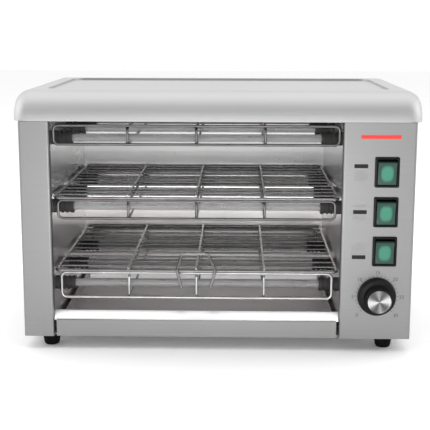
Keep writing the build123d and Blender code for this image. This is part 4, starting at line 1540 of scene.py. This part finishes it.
    def build(self, frame: dict) -> None:
        """Build the switches, the knob and the marks."""
        centres = tuple((self.switch_x * MM, z * MM) for z in self.switch_z)
        lens = GreenLens("rocker_green_painted_glow", "rocker_plastic", (0.050, 0.235, 0.155), centres=centres)
        for number, (z, body) in enumerate(zip(self.switch_z, self.switch_bodies), start=1):
            self.bezel(number, z)
            self.rocker(number, z, body, lens)
        self.turn_knob()
        self.prints()
        dress(frame, TIMER, ["timer_body", "timer_shaft"])


# ---------------------------------------------------------------------------- studio
@dataclass(frozen=True)
class Lamp:
    """A soft rectangular light: where it hangs, where it faces, its width and height, and its watts."""

    name: str
    place: tuple[float, float, float]
    aim: tuple[float, float, float]
    size: tuple[float, float]
    power: float


LAMPS = (
    Lamp("overhead", (0.0, 0.1, 2.0), (0.0, 0.0, 0.1), (3.0, 2.2), 14.5),
    Lamp("left", (-1.7, -0.2, 0.9), (0.0, -0.3, 0.0), (1.2, 1.2), 9.0),
    Lamp("right", (1.7, -0.2, 0.9), (0.0, -0.3, 0.0), (1.2, 1.2), 9.0),
    Lamp("front", (0.0, -2.2, 0.25), (0.0, 0.0, 0.10), (1.8, 0.5), 4.5),
    Lamp("opening", (-0.022, -0.62, 0.09), (-0.022, 0.1, 0.09), (0.36, 0.12), 0.5),
)


@dataclass
class Studio:
    """Pale floor, soft lights and the camera."""

    eye: tuple[float, float, float] = (0.02048, -1.19052, 0.34981)
    yaw: float = -1.2978
    pitch: float = 11.089
    roll: float = 0.1147
    lens: float = 86.06
    shift: tuple[float, float] = (0.00394, 0.01311)
    floor_reach: float = 6.0
    sky: float = 1.06
    front_sky: float = 0.32

    def camera(self) -> None:
        """Aim the camera at the object's front from a little above it."""
        yaw, pitch, roll = (math.radians(a) for a in (self.yaw, self.pitch, self.roll))
        ahead = Vector((math.sin(yaw) * math.cos(pitch), math.cos(yaw) * math.cos(pitch), -math.sin(pitch)))
        right = Vector((math.cos(yaw), -math.sin(yaw), 0.0))
        up = right.cross(ahead)
        level_right = math.cos(roll) * right + math.sin(roll) * up
        level_up = math.cos(roll) * up - math.sin(roll) * right
        turn = Matrix((level_right, level_up, -ahead)).transposed().to_4x4()
        data = bpy.data.cameras.new("camera")
        data.lens = self.lens
        data.shift_x, data.shift_y = self.shift
        made = bpy.data.objects.new("camera", data)
        made.matrix_world = Matrix.Translation(self.eye) @ turn
        bpy.context.scene.collection.objects.link(made)
        bpy.context.scene.camera = made

    def hang(self, lamp: Lamp) -> None:
        """Hang one soft rectangular light."""
        data = bpy.data.lights.new(lamp.name, "AREA")
        data.shape = "RECTANGLE"
        data.size, data.size_y = lamp.size
        data.energy = lamp.power
        made = bpy.data.objects.new(lamp.name, data)
        made.location = lamp.place
        made.rotation_euler = (Vector(lamp.aim) - Vector(lamp.place)).to_track_quat("-Z", "Y").to_euler()
        made.visible_camera = False
        bpy.context.scene.collection.objects.link(made)

    def floor(self) -> None:
        """Lay the floor."""
        shape = bmesh.new()
        bmesh.ops.create_grid(shape, x_segments=8, y_segments=8, size=self.floor_reach)
        mesh = bpy.data.meshes.new("floor")
        shape.to_mesh(mesh)
        shape.free()
        mesh.materials.append(FLOOR.material())
        made = bpy.data.objects.new("floor", mesh)
        bpy.context.scene.collection.objects.link(made)

    def surroundings(self) -> None:
        """Light the room evenly, a little darker towards the front horizon."""
        world = bpy.data.worlds.new("room")
        world.use_nodes = True
        bpy.context.scene.world = world
        tree = world.node_tree
        back = next(n for n in tree.nodes if n.type == "BACKGROUND")
        toward = tree.nodes.new("ShaderNodeTexCoord")
        split = tree.nodes.new("ShaderNodeSeparateXYZ")
        fade = tree.nodes.new("ShaderNodeMapRange")
        fade.interpolation_type = "SMOOTHSTEP"
        for number, value in ((1, -1.0), (2, 0.1), (3, self.front_sky), (4, self.sky)):
            fade.inputs[number].default_value = value
        tree.links.new(toward.outputs["Generated"], split.inputs[0])
        tree.links.new(split.outputs[1], fade.inputs[0])
        tree.links.new(fade.outputs[0], back.inputs[1])
        back.inputs[0].default_value = (1.0, 1.0, 1.0, 1.0)

    def build(self) -> None:
        """Set up the whole studio."""
        bpy.context.scene.view_settings.view_transform = "Standard"
        self.camera()
        self.floor()
        self.surroundings()
        for lamp in LAMPS:
            self.hang(lamp)


def main() -> None:
    """Load the frame and build the studio and every sub-assembly."""
    logging.basicConfig(level=logging.INFO, format="%(name)s: %(message)s")
    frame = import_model()
    Studio().build()
    for part in (Shell(), Cavity(), Heaters(), Wirework(), Controls()):
        part.build(frame)
        log.info("%s done", type(part).__name__)


if __name__ == "__main__":
    main()
